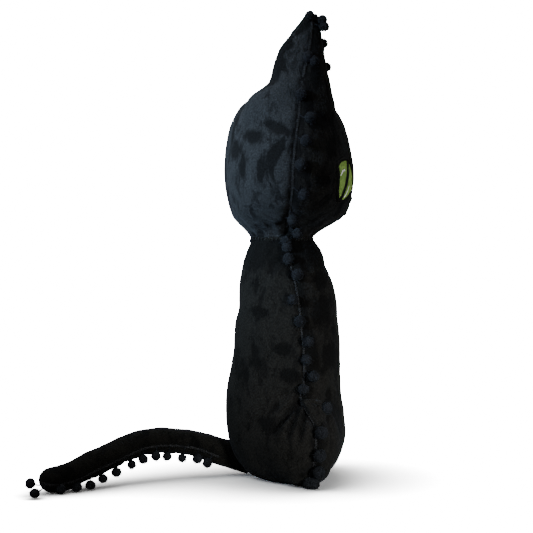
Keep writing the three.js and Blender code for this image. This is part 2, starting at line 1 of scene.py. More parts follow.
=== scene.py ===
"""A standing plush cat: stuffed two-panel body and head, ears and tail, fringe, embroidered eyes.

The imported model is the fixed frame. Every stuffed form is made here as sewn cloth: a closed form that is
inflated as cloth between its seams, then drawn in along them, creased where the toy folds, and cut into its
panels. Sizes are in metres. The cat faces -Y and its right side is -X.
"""
from __future__ import annotations

import json
import logging
import math
import random
from dataclasses import dataclass, field
from enum import Enum

import bmesh
import bpy
import numpy as np
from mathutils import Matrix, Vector, noise
from mathutils.bvhtree import BVHTree

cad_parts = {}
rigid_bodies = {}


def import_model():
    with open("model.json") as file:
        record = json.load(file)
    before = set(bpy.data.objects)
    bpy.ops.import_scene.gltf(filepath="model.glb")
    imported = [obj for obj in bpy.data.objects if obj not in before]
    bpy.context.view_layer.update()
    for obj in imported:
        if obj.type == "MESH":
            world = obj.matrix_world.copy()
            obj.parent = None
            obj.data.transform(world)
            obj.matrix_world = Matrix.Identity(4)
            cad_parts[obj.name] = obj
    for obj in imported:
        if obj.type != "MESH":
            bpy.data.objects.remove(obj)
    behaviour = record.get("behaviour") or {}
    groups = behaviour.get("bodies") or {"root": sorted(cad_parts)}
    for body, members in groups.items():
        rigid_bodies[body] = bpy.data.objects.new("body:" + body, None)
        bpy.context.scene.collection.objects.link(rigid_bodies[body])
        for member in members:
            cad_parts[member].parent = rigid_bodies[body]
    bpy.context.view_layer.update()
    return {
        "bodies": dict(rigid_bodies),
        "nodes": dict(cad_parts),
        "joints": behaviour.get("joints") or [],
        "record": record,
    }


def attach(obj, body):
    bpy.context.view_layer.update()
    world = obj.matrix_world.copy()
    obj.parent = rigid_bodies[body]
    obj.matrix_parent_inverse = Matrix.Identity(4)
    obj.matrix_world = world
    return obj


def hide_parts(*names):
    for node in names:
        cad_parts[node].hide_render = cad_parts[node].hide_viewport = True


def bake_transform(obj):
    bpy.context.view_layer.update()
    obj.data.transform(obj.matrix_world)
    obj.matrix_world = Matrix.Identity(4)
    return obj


LOG = logging.getLogger("plush_cat")
MM = 0.001
SEED = 7

NECK_Z = 0.214
NECK_Y = 0.0085
EAR_CUT_Z = 0.350
EAR_BEND_END_Z = 0.376
CLOTH_THICKNESS = 1.6 * MM
SEAM_GAP = 0.2 * MM
SEAM_HELD = 2.2 * MM
SEAM_STEP = 1.5 * MM
EAR_BALL = 4.9 * MM
TAIL_BALL = 4.7 * MM
BALL_SINK = 0.93
FLOOR_GAP = 0.2 * MM
UPWARDS = (0, 0, 1.0)


class Side(Enum):
    """The cat's two sides, by the sign of X."""

    RIGHT = -1
    LEFT = 1

    @property
    def label(self) -> str:
        """The word used in piece and node names."""
        return self.name.lower()


class Slot(Enum):
    """The record's material slots."""

    PLUSH = "black_plush"
    FRINGE = "pompom_fringe"
    BLACK_THREAD = "black_thread"
    GREEN_THREAD = "green_thread"
    WHITE_THREAD = "white_thread"


# --- Mesh helpers ---


def deselect_all() -> None:
    """Leave nothing selected."""
    for obj in bpy.context.selected_objects:
        obj.select_set(False)


def make_active(obj: bpy.types.Object) -> None:
    """Select one object alone and make it the active one."""
    deselect_all()
    obj.select_set(True)
    bpy.context.view_layer.objects.active = obj


def add_object(name: str, points: np.ndarray, faces: list) -> bpy.types.Object:
    """Make a smooth-shaded mesh object from points and faces.

    Args:
        name: The object's name.
        points: An array of N rows of X, Y, Z.
        faces: Lists of point numbers.

    Returns:
        The new object, linked to the scene.
    """
    mesh = bpy.data.meshes.new(name)
    cells = [tuple(int(i) for i in face) for face in faces]
    mesh.from_pydata([tuple(p) for p in np.asarray(points, float)], [], cells)
    mesh.update()
    mesh.polygons.foreach_set("use_smooth", [True] * len(mesh.polygons))
    obj = bpy.data.objects.new(name, mesh)
    bpy.context.scene.collection.objects.link(obj)
    return obj


def modify(obj: bpy.types.Object, kind: str, **values: object) -> None:
    """Add a modifier with the given settings, and apply it."""
    modifier = obj.modifiers.new(kind.lower(), kind)
    for key, value in values.items():
        setattr(modifier, key, value)
    make_active(obj)
    bpy.ops.object.modifier_apply(modifier=modifier.name)
    deselect_all()


def thicken(obj: bpy.types.Object) -> None:
    """Give a sheet the cloth's thickness, inwards."""
    modify(obj, "SOLIDIFY", thickness=CLOTH_THICKNESS, offset=-1)


def weigh(obj: bpy.types.Object, name: str, weights: np.ndarray) -> None:
    """Keep a weight from 0 to 1 on each point as a vertex group."""
    group = obj.vertex_groups.new(name=name)
    for i in np.nonzero(weights > 0.02)[0]:
        group.add([int(i)], float(min(weights[i], 1.0)), "REPLACE")


def points_of(obj: bpy.types.Object) -> np.ndarray:
    """The mesh's points as an array."""
    co = np.empty(len(obj.data.vertices) * 3)
    obj.data.vertices.foreach_get("co", co)
    return co.reshape(-1, 3)


def set_worn(obj: bpy.types.Object, worn: np.ndarray) -> None:
    """Keep on each point, from 0 to 1, how dark the finish paints it, for flattened pile and painted shade
    alike, for the finish to read.
    """
    layer = obj.data.attributes.get("worn") or obj.data.attributes.new("worn", "FLOAT", "POINT")
    layer.data.foreach_set("value", np.clip(worn, 0, 1).astype(np.float32))


def worn_of(obj: bpy.types.Object) -> np.ndarray:
    """How dark each point is painted, for flattened pile and painted shade alike."""
    out = np.zeros(len(obj.data.vertices), np.float32)
    layer = obj.data.attributes.get("worn")
    if layer:
        layer.data.foreach_get("value", out)
    return out


def set_points(obj: bpy.types.Object, points: np.ndarray) -> None:
    """Write an array of points back into the mesh."""
    obj.data.vertices.foreach_set("co", np.ascontiguousarray(points, float).ravel())
    obj.data.update()


def normals_of(obj: bpy.types.Object) -> np.ndarray:
    """The mesh's point normals as an array."""
    out = np.empty(len(obj.data.vertices) * 3, np.float32)
    obj.data.vertex_normals.foreach_get("vector", out)
    return out.reshape(-1, 3).astype(float)


def catmull(rows: np.ndarray, count: int) -> np.ndarray:
    """Pass a smooth curve through rows of values.

    Args:
        rows: One row of values for each station.
        count: How many rows to give back.

    Returns:
        The smooth rows, evenly spaced in station number.
    """
    last = len(rows) - 1
    t = np.linspace(0, last, count)
    i = np.minimum(t.astype(int), last - 1)
    f = (t - i)[:, None]
    padded = np.vstack([2 * rows[0] - rows[1], rows, 2 * rows[-1] - rows[-2]])
    p0, p1, p2, p3 = padded[i], padded[i + 1], padded[i + 2], padded[i + 3]
    return 0.5 * (
        2 * p1 + (p2 - p0) * f
        + (2 * p0 - 5 * p1 + 4 * p2 - p3) * f**2
        + (3 * p1 - p0 - 3 * p2 + p3) * f**3
    )


def ring_faces(rings: int, around: int, closed_ends: bool = True) -> list:
    """Faces of a tube of rings that point outwards when each ring runs anticlockwise about the tube's way.

    Args:
        rings: The number of rings.
        around: The number of points in each ring.
        closed_ends: Whether each end is closed by one flat face.

    Returns:
        The faces as lists of point numbers.
    """
    faces = []
    for i in range(rings - 1):
        for j in range(around):
            k = (j + 1) % around
            faces.append((i * around + j, i * around + k, (i + 1) * around + k, (i + 1) * around + j))
    if closed_ends:
        faces.append(tuple(range(around - 1, -1, -1)))
        faces.append(tuple((rings - 1) * around + j for j in range(around)))
    return faces


def smooth_noise(points: np.ndarray, scale: float, seed: int, octaves: int = 1) -> np.ndarray:
    """Smooth noise from about -1 to 1 at each point.

    Args:
        points: The places, in metres.
        scale: The size of the noise's lumps, in metres.
        seed: A number that shifts the pattern.
        octaves: How many finer layers are added.

    Returns:
        One value for each point.
    """
    shift = Vector((seed * 3.7, seed * 1.3, seed * 5.1))
    out = np.empty(len(points))
    for i, p in enumerate(points):
        v = Vector(p) / scale + shift
        out[i] = noise.fractal(v, 1.0, 2.0, octaves) if octaves > 1 else noise.noise(v)
    return out


def bell(distance: np.ndarray, width: float) -> np.ndarray:
    """A smooth bump, 1 at distance 0 and falling off over width."""
    return np.exp(-((distance / width) ** 2))


def ramp(value: np.ndarray, low: float, high: float) -> np.ndarray:
    """A smooth step from 0 at low to 1 at high."""
    t = np.clip((value - low) / (high - low), 0, 1)
    return t * t * (3 - 2 * t)


# --- Finishes ---


class NodeSheet:
    """Short ways to add and join shader nodes in one tree."""

    def __init__(self, tree: bpy.types.NodeTree) -> None:
        """Keep the tree to add nodes to."""
        self.tree = tree

    def add(self, kind: str, inputs: dict | None = None, **values: object) -> bpy.types.Node:
        """Add a node, set its properties, and feed its inputs."""
        node = self.tree.nodes.new(kind)
        for key, value in values.items():
            setattr(node, key, value)
        self.feed(node, inputs or {})
        return node

    def feed(self, node: bpy.types.Node, inputs: dict) -> None:
        """Join a socket to each input that is named or numbered, or set its value."""
        for key, value in inputs.items():
            if isinstance(value, bpy.types.NodeSocket):
                self.tree.links.new(value, node.inputs[key])
            else:
                node.inputs[key].default_value = value

    def math(self, operation: str, first: object, second: object) -> bpy.types.NodeSocket:
        """Add a Math node on two sockets or numbers, and give its output."""
        return self.add("ShaderNodeMath", {0: first, 1: second}, operation=operation).outputs[0]

    def noise(self, place: bpy.types.NodeSocket, scale: object, **inputs: float) -> bpy.types.NodeSocket:
        """Add a noise texture and give its factor."""
        return self.add("ShaderNodeTexNoise", {"Vector": place, "Scale": scale, **inputs}).outputs["Fac"]

    def span(self, value: bpy.types.NodeSocket, low: float, high: float) -> bpy.types.NodeSocket:
        """Map a value from low..high to 0..1, smoothly."""
        inputs = {"From Min": low, "From Max": high, "Value": value}
        return self.add("ShaderNodeMapRange", inputs, interpolation_type="SMOOTHSTEP").outputs["Result"]

    def between(self, value: bpy.types.NodeSocket, low: float, high: float) -> bpy.types.NodeSocket:
        """Map a value from 0..1 to low..high."""
        return self.add("ShaderNodeMapRange", {"To Min": low, "To Max": high, "Value": value}).outputs["Result"]

    def blend(self, factor: object, first: object, second: object, way: str = "MIX") -> bpy.types.NodeSocket:
        """Mix two colours, each a socket or four numbers, and give the result."""
        inputs = {0: factor, 6: first, 7: second}
        return self.add("ShaderNodeMix", inputs, data_type="RGBA", blend_type=way).outputs[2]

    def bump(self, height: bpy.types.NodeSocket, distance: float, **inputs: object) -> bpy.types.NodeSocket:
        """Add a bump and give its normal."""
        return self.add("ShaderNodeBump", {"Height": height, "Distance": distance, **inputs}).outputs["Normal"]


def pile_group() -> bpy.types.NodeTree:
    """The shared effect of a short pile: flattened patches where it lies another way, painted shade read from
    each point, and its fine grain.

    Returns:
        A node group with the outputs Flattened And Shaded, Grain and Normal.
    """
    found = bpy.data.node_groups.get("PileLay")
    if found:
        return found
    tree = bpy.data.node_groups.new("PileLay", "ShaderNodeTree")
    settings = {"Patch Scale": 26.0, "Grain Scale": 950.0, "Grain Height": 0.35, "Lay Height": 0.5}
    for name, value in settings.items():
        socket = tree.interface.new_socket(name, in_out="INPUT", socket_type="NodeSocketFloat")
        socket.default_value = value
    for name, kind in (("Crushed", "Float"), ("Grain", "Float"), ("Normal", "Vector")):
        tree.interface.new_socket(name, in_out="OUTPUT", socket_type=f"NodeSocket{kind}")
    sheet = NodeSheet(tree)
    inside = sheet.add("NodeGroupInput").outputs
    place = sheet.add("ShaderNodeTexCoord").outputs["Object"]
    mapping = {"Vector": place, "Scale": (1.35, 1.35, 0.72)}
    stretched = sheet.add("ShaderNodeMapping", mapping).outputs["Vector"]

    def patches(scale: float, low: float, high: float) -> bpy.types.NodeSocket:
        """Ragged patches of one size."""
        size = sheet.math("MULTIPLY", inside["Patch Scale"], scale)
        return sheet.span(sheet.noise(stretched, size, Detail=4.0, Roughness=0.6, Distortion=0.5), low, high)

    small = sheet.math("MULTIPLY", patches(2.7, 0.52, 0.66), 0.7)
    scattered = sheet.math("MAXIMUM", patches(1.0, 0.51, 0.63), small)
    # Painted shade, with the marked flattened pile, comes in from the point attribute here.
    marked_flat_pile_and_shade = sheet.add("ShaderNodeAttribute", attribute_name="worn").outputs["Fac"]
    ragged = sheet.math("ADD", marked_flat_pile_and_shade, sheet.math("MULTIPLY", patches(4.5, 0.30, 0.70), 0.50))
    crushed = sheet.math("MAXIMUM", scattered, sheet.span(ragged, 0.30, 0.95))
    grain = sheet.noise(place, inside["Grain Scale"], Detail=3.0, Roughness=0.7)
    lay = sheet.bump(sheet.math("SUBTRACT", 1.0, crushed), 1.2 * MM, Strength=inside["Lay Height"])
    fine = sheet.bump(grain, 0.6 * MM, Strength=inside["Grain Height"], Normal=lay)
    sheet.add("NodeGroupOutput", {"Crushed": crushed, "Grain": grain, "Normal": fine})
    return tree


@dataclass(frozen=True)
class Finish:
    """A cloth or thread finish, built as one material."""

    name: str

    def material(self) -> bpy.types.Material:
        """Build the material, or give it if it is built already."""
        found = bpy.data.materials.get(self.name)
        if found:
            return found
        made = bpy.data.materials.new(self.name)
        made.use_nodes = True
        self.paint(NodeSheet(made.node_tree), made.node_tree.nodes["Principled BSDF"])
        return made

    def paint(self, sheet: NodeSheet, shader: bpy.types.Node) -> None:
        """Feed the shader with the finish's own nodes."""
        raise NotImplementedError


@dataclass(frozen=True)
class PileFinish(Finish):
    """Short-pile plush cloth: deep black, cooler where the pile stands, and blacker where it is flattened and
    where shade is painted.
    """

    standing: tuple
    crushed: tuple
    sheen: float = 0.03
    grain_height: float = 0.8
    patch_scale: float = 34.0

    def paint(self, sheet: NodeSheet, shader: bpy.types.Node) -> None:
        """Feed the shader with the pile's colours, grain and sheen."""
        settings = {"Patch Scale": self.patch_scale, "Grain Height": self.grain_height}
        pile = sheet.add("ShaderNodeGroup", node_tree=pile_group())
        sheet.feed(pile, settings)
        crushed, grain, normal = (pile.outputs[name] for name in ("Crushed", "Grain", "Normal"))
        # The darker colour paints flattened pile and painted shade alike.
        tone = sheet.blend(crushed, (*self.standing, 1), (*self.crushed, 1))
        fleck = sheet.blend(sheet.span(grain, 0.3, 0.75), (0.42, 0.42, 0.42, 1), (1.58, 1.58, 1.58, 1))
        sheet.feed(shader, {
            "Base Color": sheet.blend(1.0, tone, fleck, "MULTIPLY"),
            "Roughness": sheet.between(grain, 0.78, 0.97),
            "Specular IOR Level": 0.04,
            "Sheen Weight": self.sheen,
            "Sheen Roughness": 0.45,
            "Sheen Tint": (0.62, 0.70, 0.82, 1),
            "Normal": normal,
        })


@dataclass(frozen=True)
class ThreadFinish(Finish):
    """Embroidery or braid thread: silky strands with a fine twist."""

    light: tuple
    dark: tuple
    strand_scale: float = 1500.0
    roughness: float = 0.42
    specular: float = 0.45

    def paint(self, sheet: NodeSheet, shader: bpy.types.Node) -> None:
        """Feed the shader with the strands' colours and relief."""
        place = sheet.add("ShaderNodeTexCoord").outputs["Object"]
        mapping = {"Vector": place, "Scale": (1.0, 1.0, 0.12)}
        long = sheet.add("ShaderNodeMapping", mapping).outputs["Vector"]
        strand = sheet.noise(long, self.strand_scale, Detail=2.0)
        broad = sheet.noise(place, 220.0, Detail=2.0)
        both = sheet.math("ADD", sheet.math("MULTIPLY", strand, 0.7), sheet.math("MULTIPLY", broad, 0.3))
        sheet.feed(shader, {
            "Base Color": sheet.blend(sheet.span(both, 0.36, 0.64), (*self.dark, 1), (*self.light, 1)),
            "Roughness": sheet.between(strand, self.roughness, self.roughness + 0.25),
            "Normal": sheet.bump(strand, 0.15 * MM, Strength=0.5),
            "Specular IOR Level": self.specular,
        })


# Four copies of one black plush, toned by how the light falls: the head's and ears' back panels painted lighter
# as if lit, the face, ear fronts, body and tail painted darker as shade.
HEAD_PLUSH_PAINTED_LIT = PileFinish("plush_black_head", (0.0150, 0.0158, 0.0170), (0.0038, 0.0039, 0.0041))
FACE_PLUSH_PAINTED_SHADE = PileFinish("plush_black_face", (0.0092, 0.0088, 0.0082), (0.0024, 0.0023, 0.0022))
BODY_PLUSH_PAINTED_SHADE = PileFinish("plush_black_body", (0.0070, 0.0067, 0.0059), (0.0022, 0.0021, 0.0019))
TAIL_PLUSH_PAINTED_SHADE = PileFinish("plush_black_tail", (0.0038, 0.0035, 0.0028), (0.0008, 0.0008, 0.0007))
POMPOM = PileFinish("pompom_yarn", (0.0085, 0.0093, 0.0112), (0.0045, 0.0049, 0.0060), 0.02, 0.9, 70.0)
BRAID = ThreadFinish("braid_black", (0.019, 0.019, 0.020), (0.005, 0.005, 0.0055), 900.0, 0.6, 0.10)
EYE_BLACK = ThreadFinish("eye_thread_black", (0.006, 0.006, 0.006), (0.002, 0.002, 0.002), 1500.0, 0.5, 0.08)
EYE_GREEN = ThreadFinish("eye_thread_green", (0.30, 0.46, 0.105), (0.17, 0.29, 0.055), 1500.0, 0.5, 0.2)
EYE_WHITE = ThreadFinish("eye_thread_white", (1.0, 1.0, 0.95), (0.86, 0.88, 0.80))


def dress(obj: bpy.types.Object, finish: Finish) -> None:
    """Give a piece its material."""
    obj.data.materials.clear()
    obj.data.materials.append(finish.material())


# --- Stuffed cloth forms ---


@dataclass(frozen=True)
class Crease:
    """A fold pushed into the cloth along a line on the cat's side, given by its Y and Z ends, and painted
    darker along it as painted shade.
    """

    start: tuple
    end: tuple
    depth: float
    width: float
@dataclass(frozen=True)
class SeamPull:
    """How a side seam draws the cloth in: its groove, and the puckers beside it."""

    depth: float
    width: float
    pitch: float
    height: float
    seed: int

    def move(self, points: np.ndarray, away: np.ndarray, run: np.ndarray, slim: object = 1.0) -> np.ndarray:
        """How far the seam moves each point along its normal.

        Args:
            points: The skin's points.
            away: How far each point is behind the seam.
            run: Each point's place along the seam.
            slim: How much of the pull is left at each point.

        Returns:
            The moves.
        """
        wave = np.sin(run / self.pitch + 2.2 * smooth_noise(points, 0.02, self.seed))
        pucker = self.height * slim * wave * bell(np.abs(away) - 4.5 * MM, 6.0 * MM)
        return -self.depth * slim * bell(away, self.width) + pucker


def cloth_lumps(points: np.ndarray, broad: tuple, small: tuple, seed: int) -> np.ndarray:
    """The filling's lumps under the cloth: broad and small ones, each given by height and size."""
    return sum(
        height * smooth_noise(points, size, seed + i, 2) for i, (height, size) in enumerate((broad, small))
    )


def neck_gathers(points: np.ndarray, height: np.ndarray, folds: int, seed: int) -> np.ndarray:
    """The folds of the cloth that is gathered to the neck."""
    around = np.arctan2(points[:, 1] - NECK_Y, points[:, 0])
    return height * np.sin(folds * around + 1.5 * smooth_noise(points, 0.02, seed))

@dataclass
class StuffedForm:
    """A closed cloth form made from lofts: joined, inflated as cloth between its seams, and finished.

    A row of a loft is height, half-width, front, back and the side seam's Y.
    """

    name: str
    voxel: float
    inflate: float = 4.0
    cap: float = 2.2 * MM
    surplus: float = 0.015
    softening: int = 26
    frames: int = 20

    def loft(self, rows: np.ndarray, x: np.ndarray | None = None, count: int = 60, around: int = 72) -> tuple:
        """Rings of a loft through level sections of two half ellipses.

        Args:
            rows: Height, half-width, front, back and seam of each section.
            x: The sections' middles across the toy, or None where they are at 0.
            count: How many rings are made.
            around: How many points a ring has.

        Returns:
            The points and faces.
        """
        middle = np.zeros(len(rows)) if x is None else x
        fine = catmull(np.column_stack([rows, middle]), count)
        angle = np.linspace(0, 2 * np.pi, around, endpoint=False)
        z, half, front, back, seam, centre = (fine[:, i][:, None] for i in range(6))
        depth = np.where(np.sin(angle) >= 0, back - seam, seam - front)
        points = np.stack([
            centre + half * np.cos(angle),
            seam + depth * np.sin(angle),
            np.broadcast_to(z, (count, around)),
        ], axis=-1)
        return points.reshape(-1, 3), ring_faces(count, around)

    def fuse(self, parts: list) -> bpy.types.Object:
        """Join closed parts into one skin of even faces, and smooth the places where they meet.

        Args:
            parts: Pairs of points and faces.

        Returns:
            The fused object.
        """
        obj = add_object(self.name, *merge(parts))
        modify(obj, "REMESH", mode="VOXEL", voxel_size=self.voxel)
        weigh(obj, "meeting", self.meeting(points_of(obj)))
        modify(obj, "SMOOTH", factor=0.5, iterations=2)
        modify(obj, "SMOOTH", factor=0.5, iterations=self.softening, vertex_group="meeting")
        obj.vertex_groups.clear()
        return obj

    def seam(self) -> SeamLine:
        """The form's side seam."""
        raise NotImplementedError

    def held_ends(self, z: np.ndarray) -> np.ndarray:
        """How firmly the skin is held away from its seam, by height."""
        raise NotImplementedError

    def meeting(self, points: np.ndarray) -> np.ndarray:
        """How near each point is to where two parts of the skin meet, from 0 to 1."""
        return np.zeros(len(points))

    def inflate_cloth(self, obj: bpy.types.Object, held: np.ndarray) -> None:
        """Blow the skin up as cloth with its seams held, so that it bulges and puckers between them.

        Args:
            obj: The skin.
            held: How firmly each point is held, from 0 to 1.
        """
        weigh(obj, "held", held)
        before = points_of(obj)
        cloth = obj.modifiers.new("cloth", "CLOTH")
        cloth.settings.quality = 4
        cloth.settings.mass = 0.15
        cloth.settings.tension_stiffness = 12
        cloth.settings.compression_stiffness = 12
        cloth.settings.bending_stiffness = 0.6
        cloth.settings.use_pressure = True
        cloth.settings.uniform_pressure_force = self.inflate
        cloth.settings.shrink_min = -self.surplus
        cloth.settings.vertex_group_mass = "held"
        cloth.settings.effector_weights.gravity = 0
        cloth.collision_settings.use_collision = False
        cloth.point_cache.frame_start = 1
        cloth.point_cache.frame_end = self.frames
        scene = bpy.context.scene
        for frame in range(1, self.frames + 1):
            scene.frame_set(frame)
        depsgraph = bpy.context.evaluated_depsgraph_get()
        after = points_of(obj.evaluated_get(depsgraph))
        obj.modifiers.remove(cloth)
        scene.frame_set(1)
        move = after - before
        length = np.maximum(np.linalg.norm(move, axis=1, keepdims=True), 1e-9)
        set_points(obj, before + move * np.minimum(1, self.cap / length))
        obj.vertex_groups.clear()
        modify(obj, "SMOOTH", factor=0.5, iterations=4)

    def blow_up(self, parts: list) -> bpy.types.Object:
        """Fuse the parts, inflate the skin with its seam and ends held, and bring it onto its seam."""
        obj = self.fuse(parts)
        seam = self.seam()
        p = points_of(obj)
        held = bell(p[:, 1] - seam.at(p[:, 2]), SEAM_HELD)
        self.inflate_cloth(obj, np.maximum(held, self.held_ends(p[:, 2])))
        modify(obj, "SUBSURF", levels=1, render_levels=1)
        self.sew(obj, seam)
        return obj

    def sew(self, obj: bpy.types.Object, seam: SeamLine) -> None:
        """Bring the skin's points onto the seam and onto the neck's level, where it is cut later."""
        centres = face_centres(obj)
        snap_between(obj, centres[:, 1] < seam.at(centres[:, 2]), 1, lambda p: seam.at(p[:, 2]))
        snap_between(obj, face_centres(obj)[:, 2] < NECK_Z, 2, lambda p: NECK_Z)


def cut_piece(source: bpy.types.Object, name: str, keep: np.ndarray, edge_shift: float) -> bpy.types.Object:
    """Cut some faces of a skin out as a cloth piece of its own with a real thickness.

    Args:
        source: The whole skin.
        name: The new piece's name.
        keep: Whether each face is kept.
        edge_shift: How far the points on the cut move along Y.

    Returns:
        The new piece, a closed shell that is thick inwards.
    """
    faces, others = [], []
    for poly, kept in zip(source.data.polygons, keep):
        (faces if kept else others).append(tuple(poly.vertices))
    used = np.unique([v for face in faces for v in face])
    points = points_of(source)
    edge = np.intersect1d(used, [v for face in others for v in face])
    points[edge, 1] += edge_shift
    number = {int(v): i for i, v in enumerate(used)}
    piece = add_object(name, points[used], [[number[v] for v in face] for face in faces])
    set_worn(piece, worn_of(source)[used])
    thicken(piece)
    return piece


def face_centres(obj: bpy.types.Object) -> np.ndarray:
    """The middle of each face."""
    out = np.empty(len(obj.data.polygons) * 3)
    obj.data.polygons.foreach_get("center", out)
    return out.reshape(-1, 3)


def snap_between(obj: bpy.types.Object, mask: np.ndarray, axis: int, value: object) -> None:
    """Move the points between marked and unmarked faces onto an exact line.

    Args:
        obj: The skin.
        mask: Whether each face is marked.
        axis: Which coordinate is set, 0 to 2.
        value: A function that gives that coordinate for an array of points.
    """
    points = points_of(obj)
    marked = np.zeros(len(points), bool)
    unmarked = np.zeros(len(points), bool)
    for poly, is_marked in zip(obj.data.polygons, mask):
        (marked if is_marked else unmarked)[list(poly.vertices)] = True
    line = marked & unmarked
    points[line, axis] = value(points[line])
    set_points(obj, points)


@dataclass
class SeamLine:
    """The side seam's Y at each height."""

    heights: np.ndarray
    places: np.ndarray

    def at(self, z: np.ndarray | float) -> np.ndarray | float:
        """The seam's Y at height z."""
        return np.interp(z, self.heights, self.places)


@dataclass
class BodyForm(StuffedForm):
    """The pear-shaped body with its two haunches."""

    shares: tuple = (
        (0.0, 0.68, 0.53, 0.42, -14),
        (0.03, 0.88, 0.66, 0.66, -14),
        (0.09, 0.97, 0.90, 0.84, -16),
        (0.18, 1.0, 1.0, 0.95, -19.5),
        (0.29, 0.98, 0.98, 1.0, -19),
        (0.40, 0.96, 0.91, 0.96, -12.5),
        (0.57, 0.91, 0.91, 0.87, -10),
        (0.75, 0.84, 0.85, 0.85, -6),
        (0.90, 0.74, 0.71, 0.775, 0),
        (1.0, 0.57, 0.57, 0.66, 4),
        (1.04, 0.466, 0.394, 0.595, 5),
        (1.12, 0.466, 0.394, 0.595, 5),
    )
    seam_line: tuple = (
        (0, -14), (9, -14.3), (25, -19.5), (41, -20.3), (53, -21.2), (64, -13.5), (74, -7.5), (79, -7.9),
        (90, -10.9), (110, -10.8), (130, -9.2), (156, -6.6), (176, -3.2), (195, 1.0), (213, 5), (235, 5),
    )
    base_seam: tuple = ((-0.030, -0.014), (0.030, -0.014))
    worn: tuple = (
        # Spots of flattened pile and of painted shade: Y, Z, half sizes and lean.
        (20, 54, 9, 6.5, 35), (-27, 150, 9, 14, 0), (2, 96, 9, 6, 10), (8, 118, 8, 5, 0), (30, 106, 6, 4, 0),
        (-33, 112, 8, 12, 0), (-26, 178, 7, 9, 0), (28, 150, 8, 4, 10),
    )
    height: float = 0.206
    half_width: float = 0.059
    front: float = 0.047
    back: float = 0.058
    haunch: tuple = (0.0495, -0.0105, 0.036)
    haunch_radii: tuple = (0.0265, 0.0335, 0.0360)
    pull: SeamPull = SeamPull(2.4 * MM, 3.0 * MM, 3.6 * MM, 0.75 * MM, 3)
    creases: tuple = (
        Crease((-0.006, 0.075), (0.019, 0.045), 5.0 * MM, 2.8 * MM),
        Crease((-0.008, 0.073), (0.007, 0.040), 4.0 * MM, 2.3 * MM),
        Crease((-0.012, 0.069), (-0.005, 0.038), 3.4 * MM, 2.2 * MM),
        Crease((-0.028, 0.068), (-0.034, 0.044), 1.5 * MM, 2.4 * MM),
        Crease((-0.006, 0.078), (0.020, 0.084), 1.2 * MM, 3.0 * MM),
        Crease((-0.030, 0.078), (-0.040, 0.092), 1.2 * MM, 3.0 * MM),
        Crease((-0.016, 0.030), (0.006, 0.020), 1.0 * MM, 2.6 * MM),
        Crease((0.010, 0.196), (0.028, 0.172), 1.2 * MM, 2.6 * MM),
        Crease((-0.008, 0.196), (-0.020, 0.176), 1.2 * MM, 2.6 * MM),
    )

    def rows(self) -> np.ndarray:
        """The loft's sections."""
        return np.array([
            (z * self.height, half * self.half_width, -front * self.front, back * self.back, seam * MM)
            for z, half, front, back, seam in self.shares
        ])

    def seam(self) -> SeamLine:
        """The body's side seam, which jogs back at the hip and comes forward again over the haunch."""
        line = np.array(self.seam_line) * MM
        return SeamLine(line[:, 0], line[:, 1])

    def meeting(self, points: np.ndarray) -> np.ndarray:
        """The skin is smoothed most in the hollow around each haunch."""
        x = np.abs(points[:, 0]) - self.haunch[0]
        y, z = points[:, 1] - self.haunch[1], points[:, 2] - self.haunch[2]
        rx, ry, rz = self.haunch_radii
        reach = np.sqrt((x / rx) ** 2 + (y / ry) ** 2 + (z / rz) ** 2)
        return bell(reach - 1.05, 0.35) * ramp(points[:, 2], 0.006, 0.02)

    def haunch_part(self, side: Side) -> tuple:
        """One haunch as a closed ball, flat where it stands."""
        rings, around = 30, 40
        tilt = np.linspace(-1, 1, rings) * (math.pi / 2 - 0.05)
        angle = np.linspace(0, 2 * math.pi, around, endpoint=False)
        rx, ry, rz = self.haunch_radii
        x = side.value * self.haunch[0] + rx * np.cos(tilt)[:, None] * np.cos(angle)
        y = self.haunch[1] + ry * np.cos(tilt)[:, None] * np.sin(angle)
        z = np.broadcast_to(np.maximum(self.haunch[2] + rz * np.sin(tilt)[:, None], 0.0), x.shape)
        return np.stack([x, y, z], -1).reshape(-1, 3), ring_faces(rings, around)

    def held_ends(self, z: np.ndarray) -> np.ndarray:
        """The skin is held at the neck and where it stands."""
        return np.maximum(ramp(z, 0.192, 0.204), 1 - ramp(z, 0.002, 0.010))

    def skin(self) -> bpy.types.Object:
        """Make the body's whole skin: fused, inflated, drawn in at the seams and creased."""
        obj = self.blow_up([self.loft(self.rows())] + [self.haunch_part(s) for s in Side])
        seam = self.seam()
        p, n = points_of(obj), normals_of(obj)
        away = p[:, 1] - seam.at(p[:, 2])
        above = ramp(p[:, 2], 0.002, 0.012)
        lumps = cloth_lumps(p, (1.1 * MM, 0.034), (0.35 * MM, 0.011), 5)
        hip = np.exp(-(((p[:, 1] + 0.016) / 0.030) ** 2 + ((p[:, 2] - 0.072) / 0.012) ** 2))
        notch = -2.0 * MM * hip * ramp(np.abs(p[:, 0]), 0.035, 0.050)
        gathers = neck_gathers(p, 0.40 * MM * ramp(p[:, 2], 0.170, 0.206), 17, 9)
        shift = above * (self.pull.move(p, away, p[:, 2]) + lumps + notch + gathers)
        outer = np.abs(p[:, 0]) > 0.02
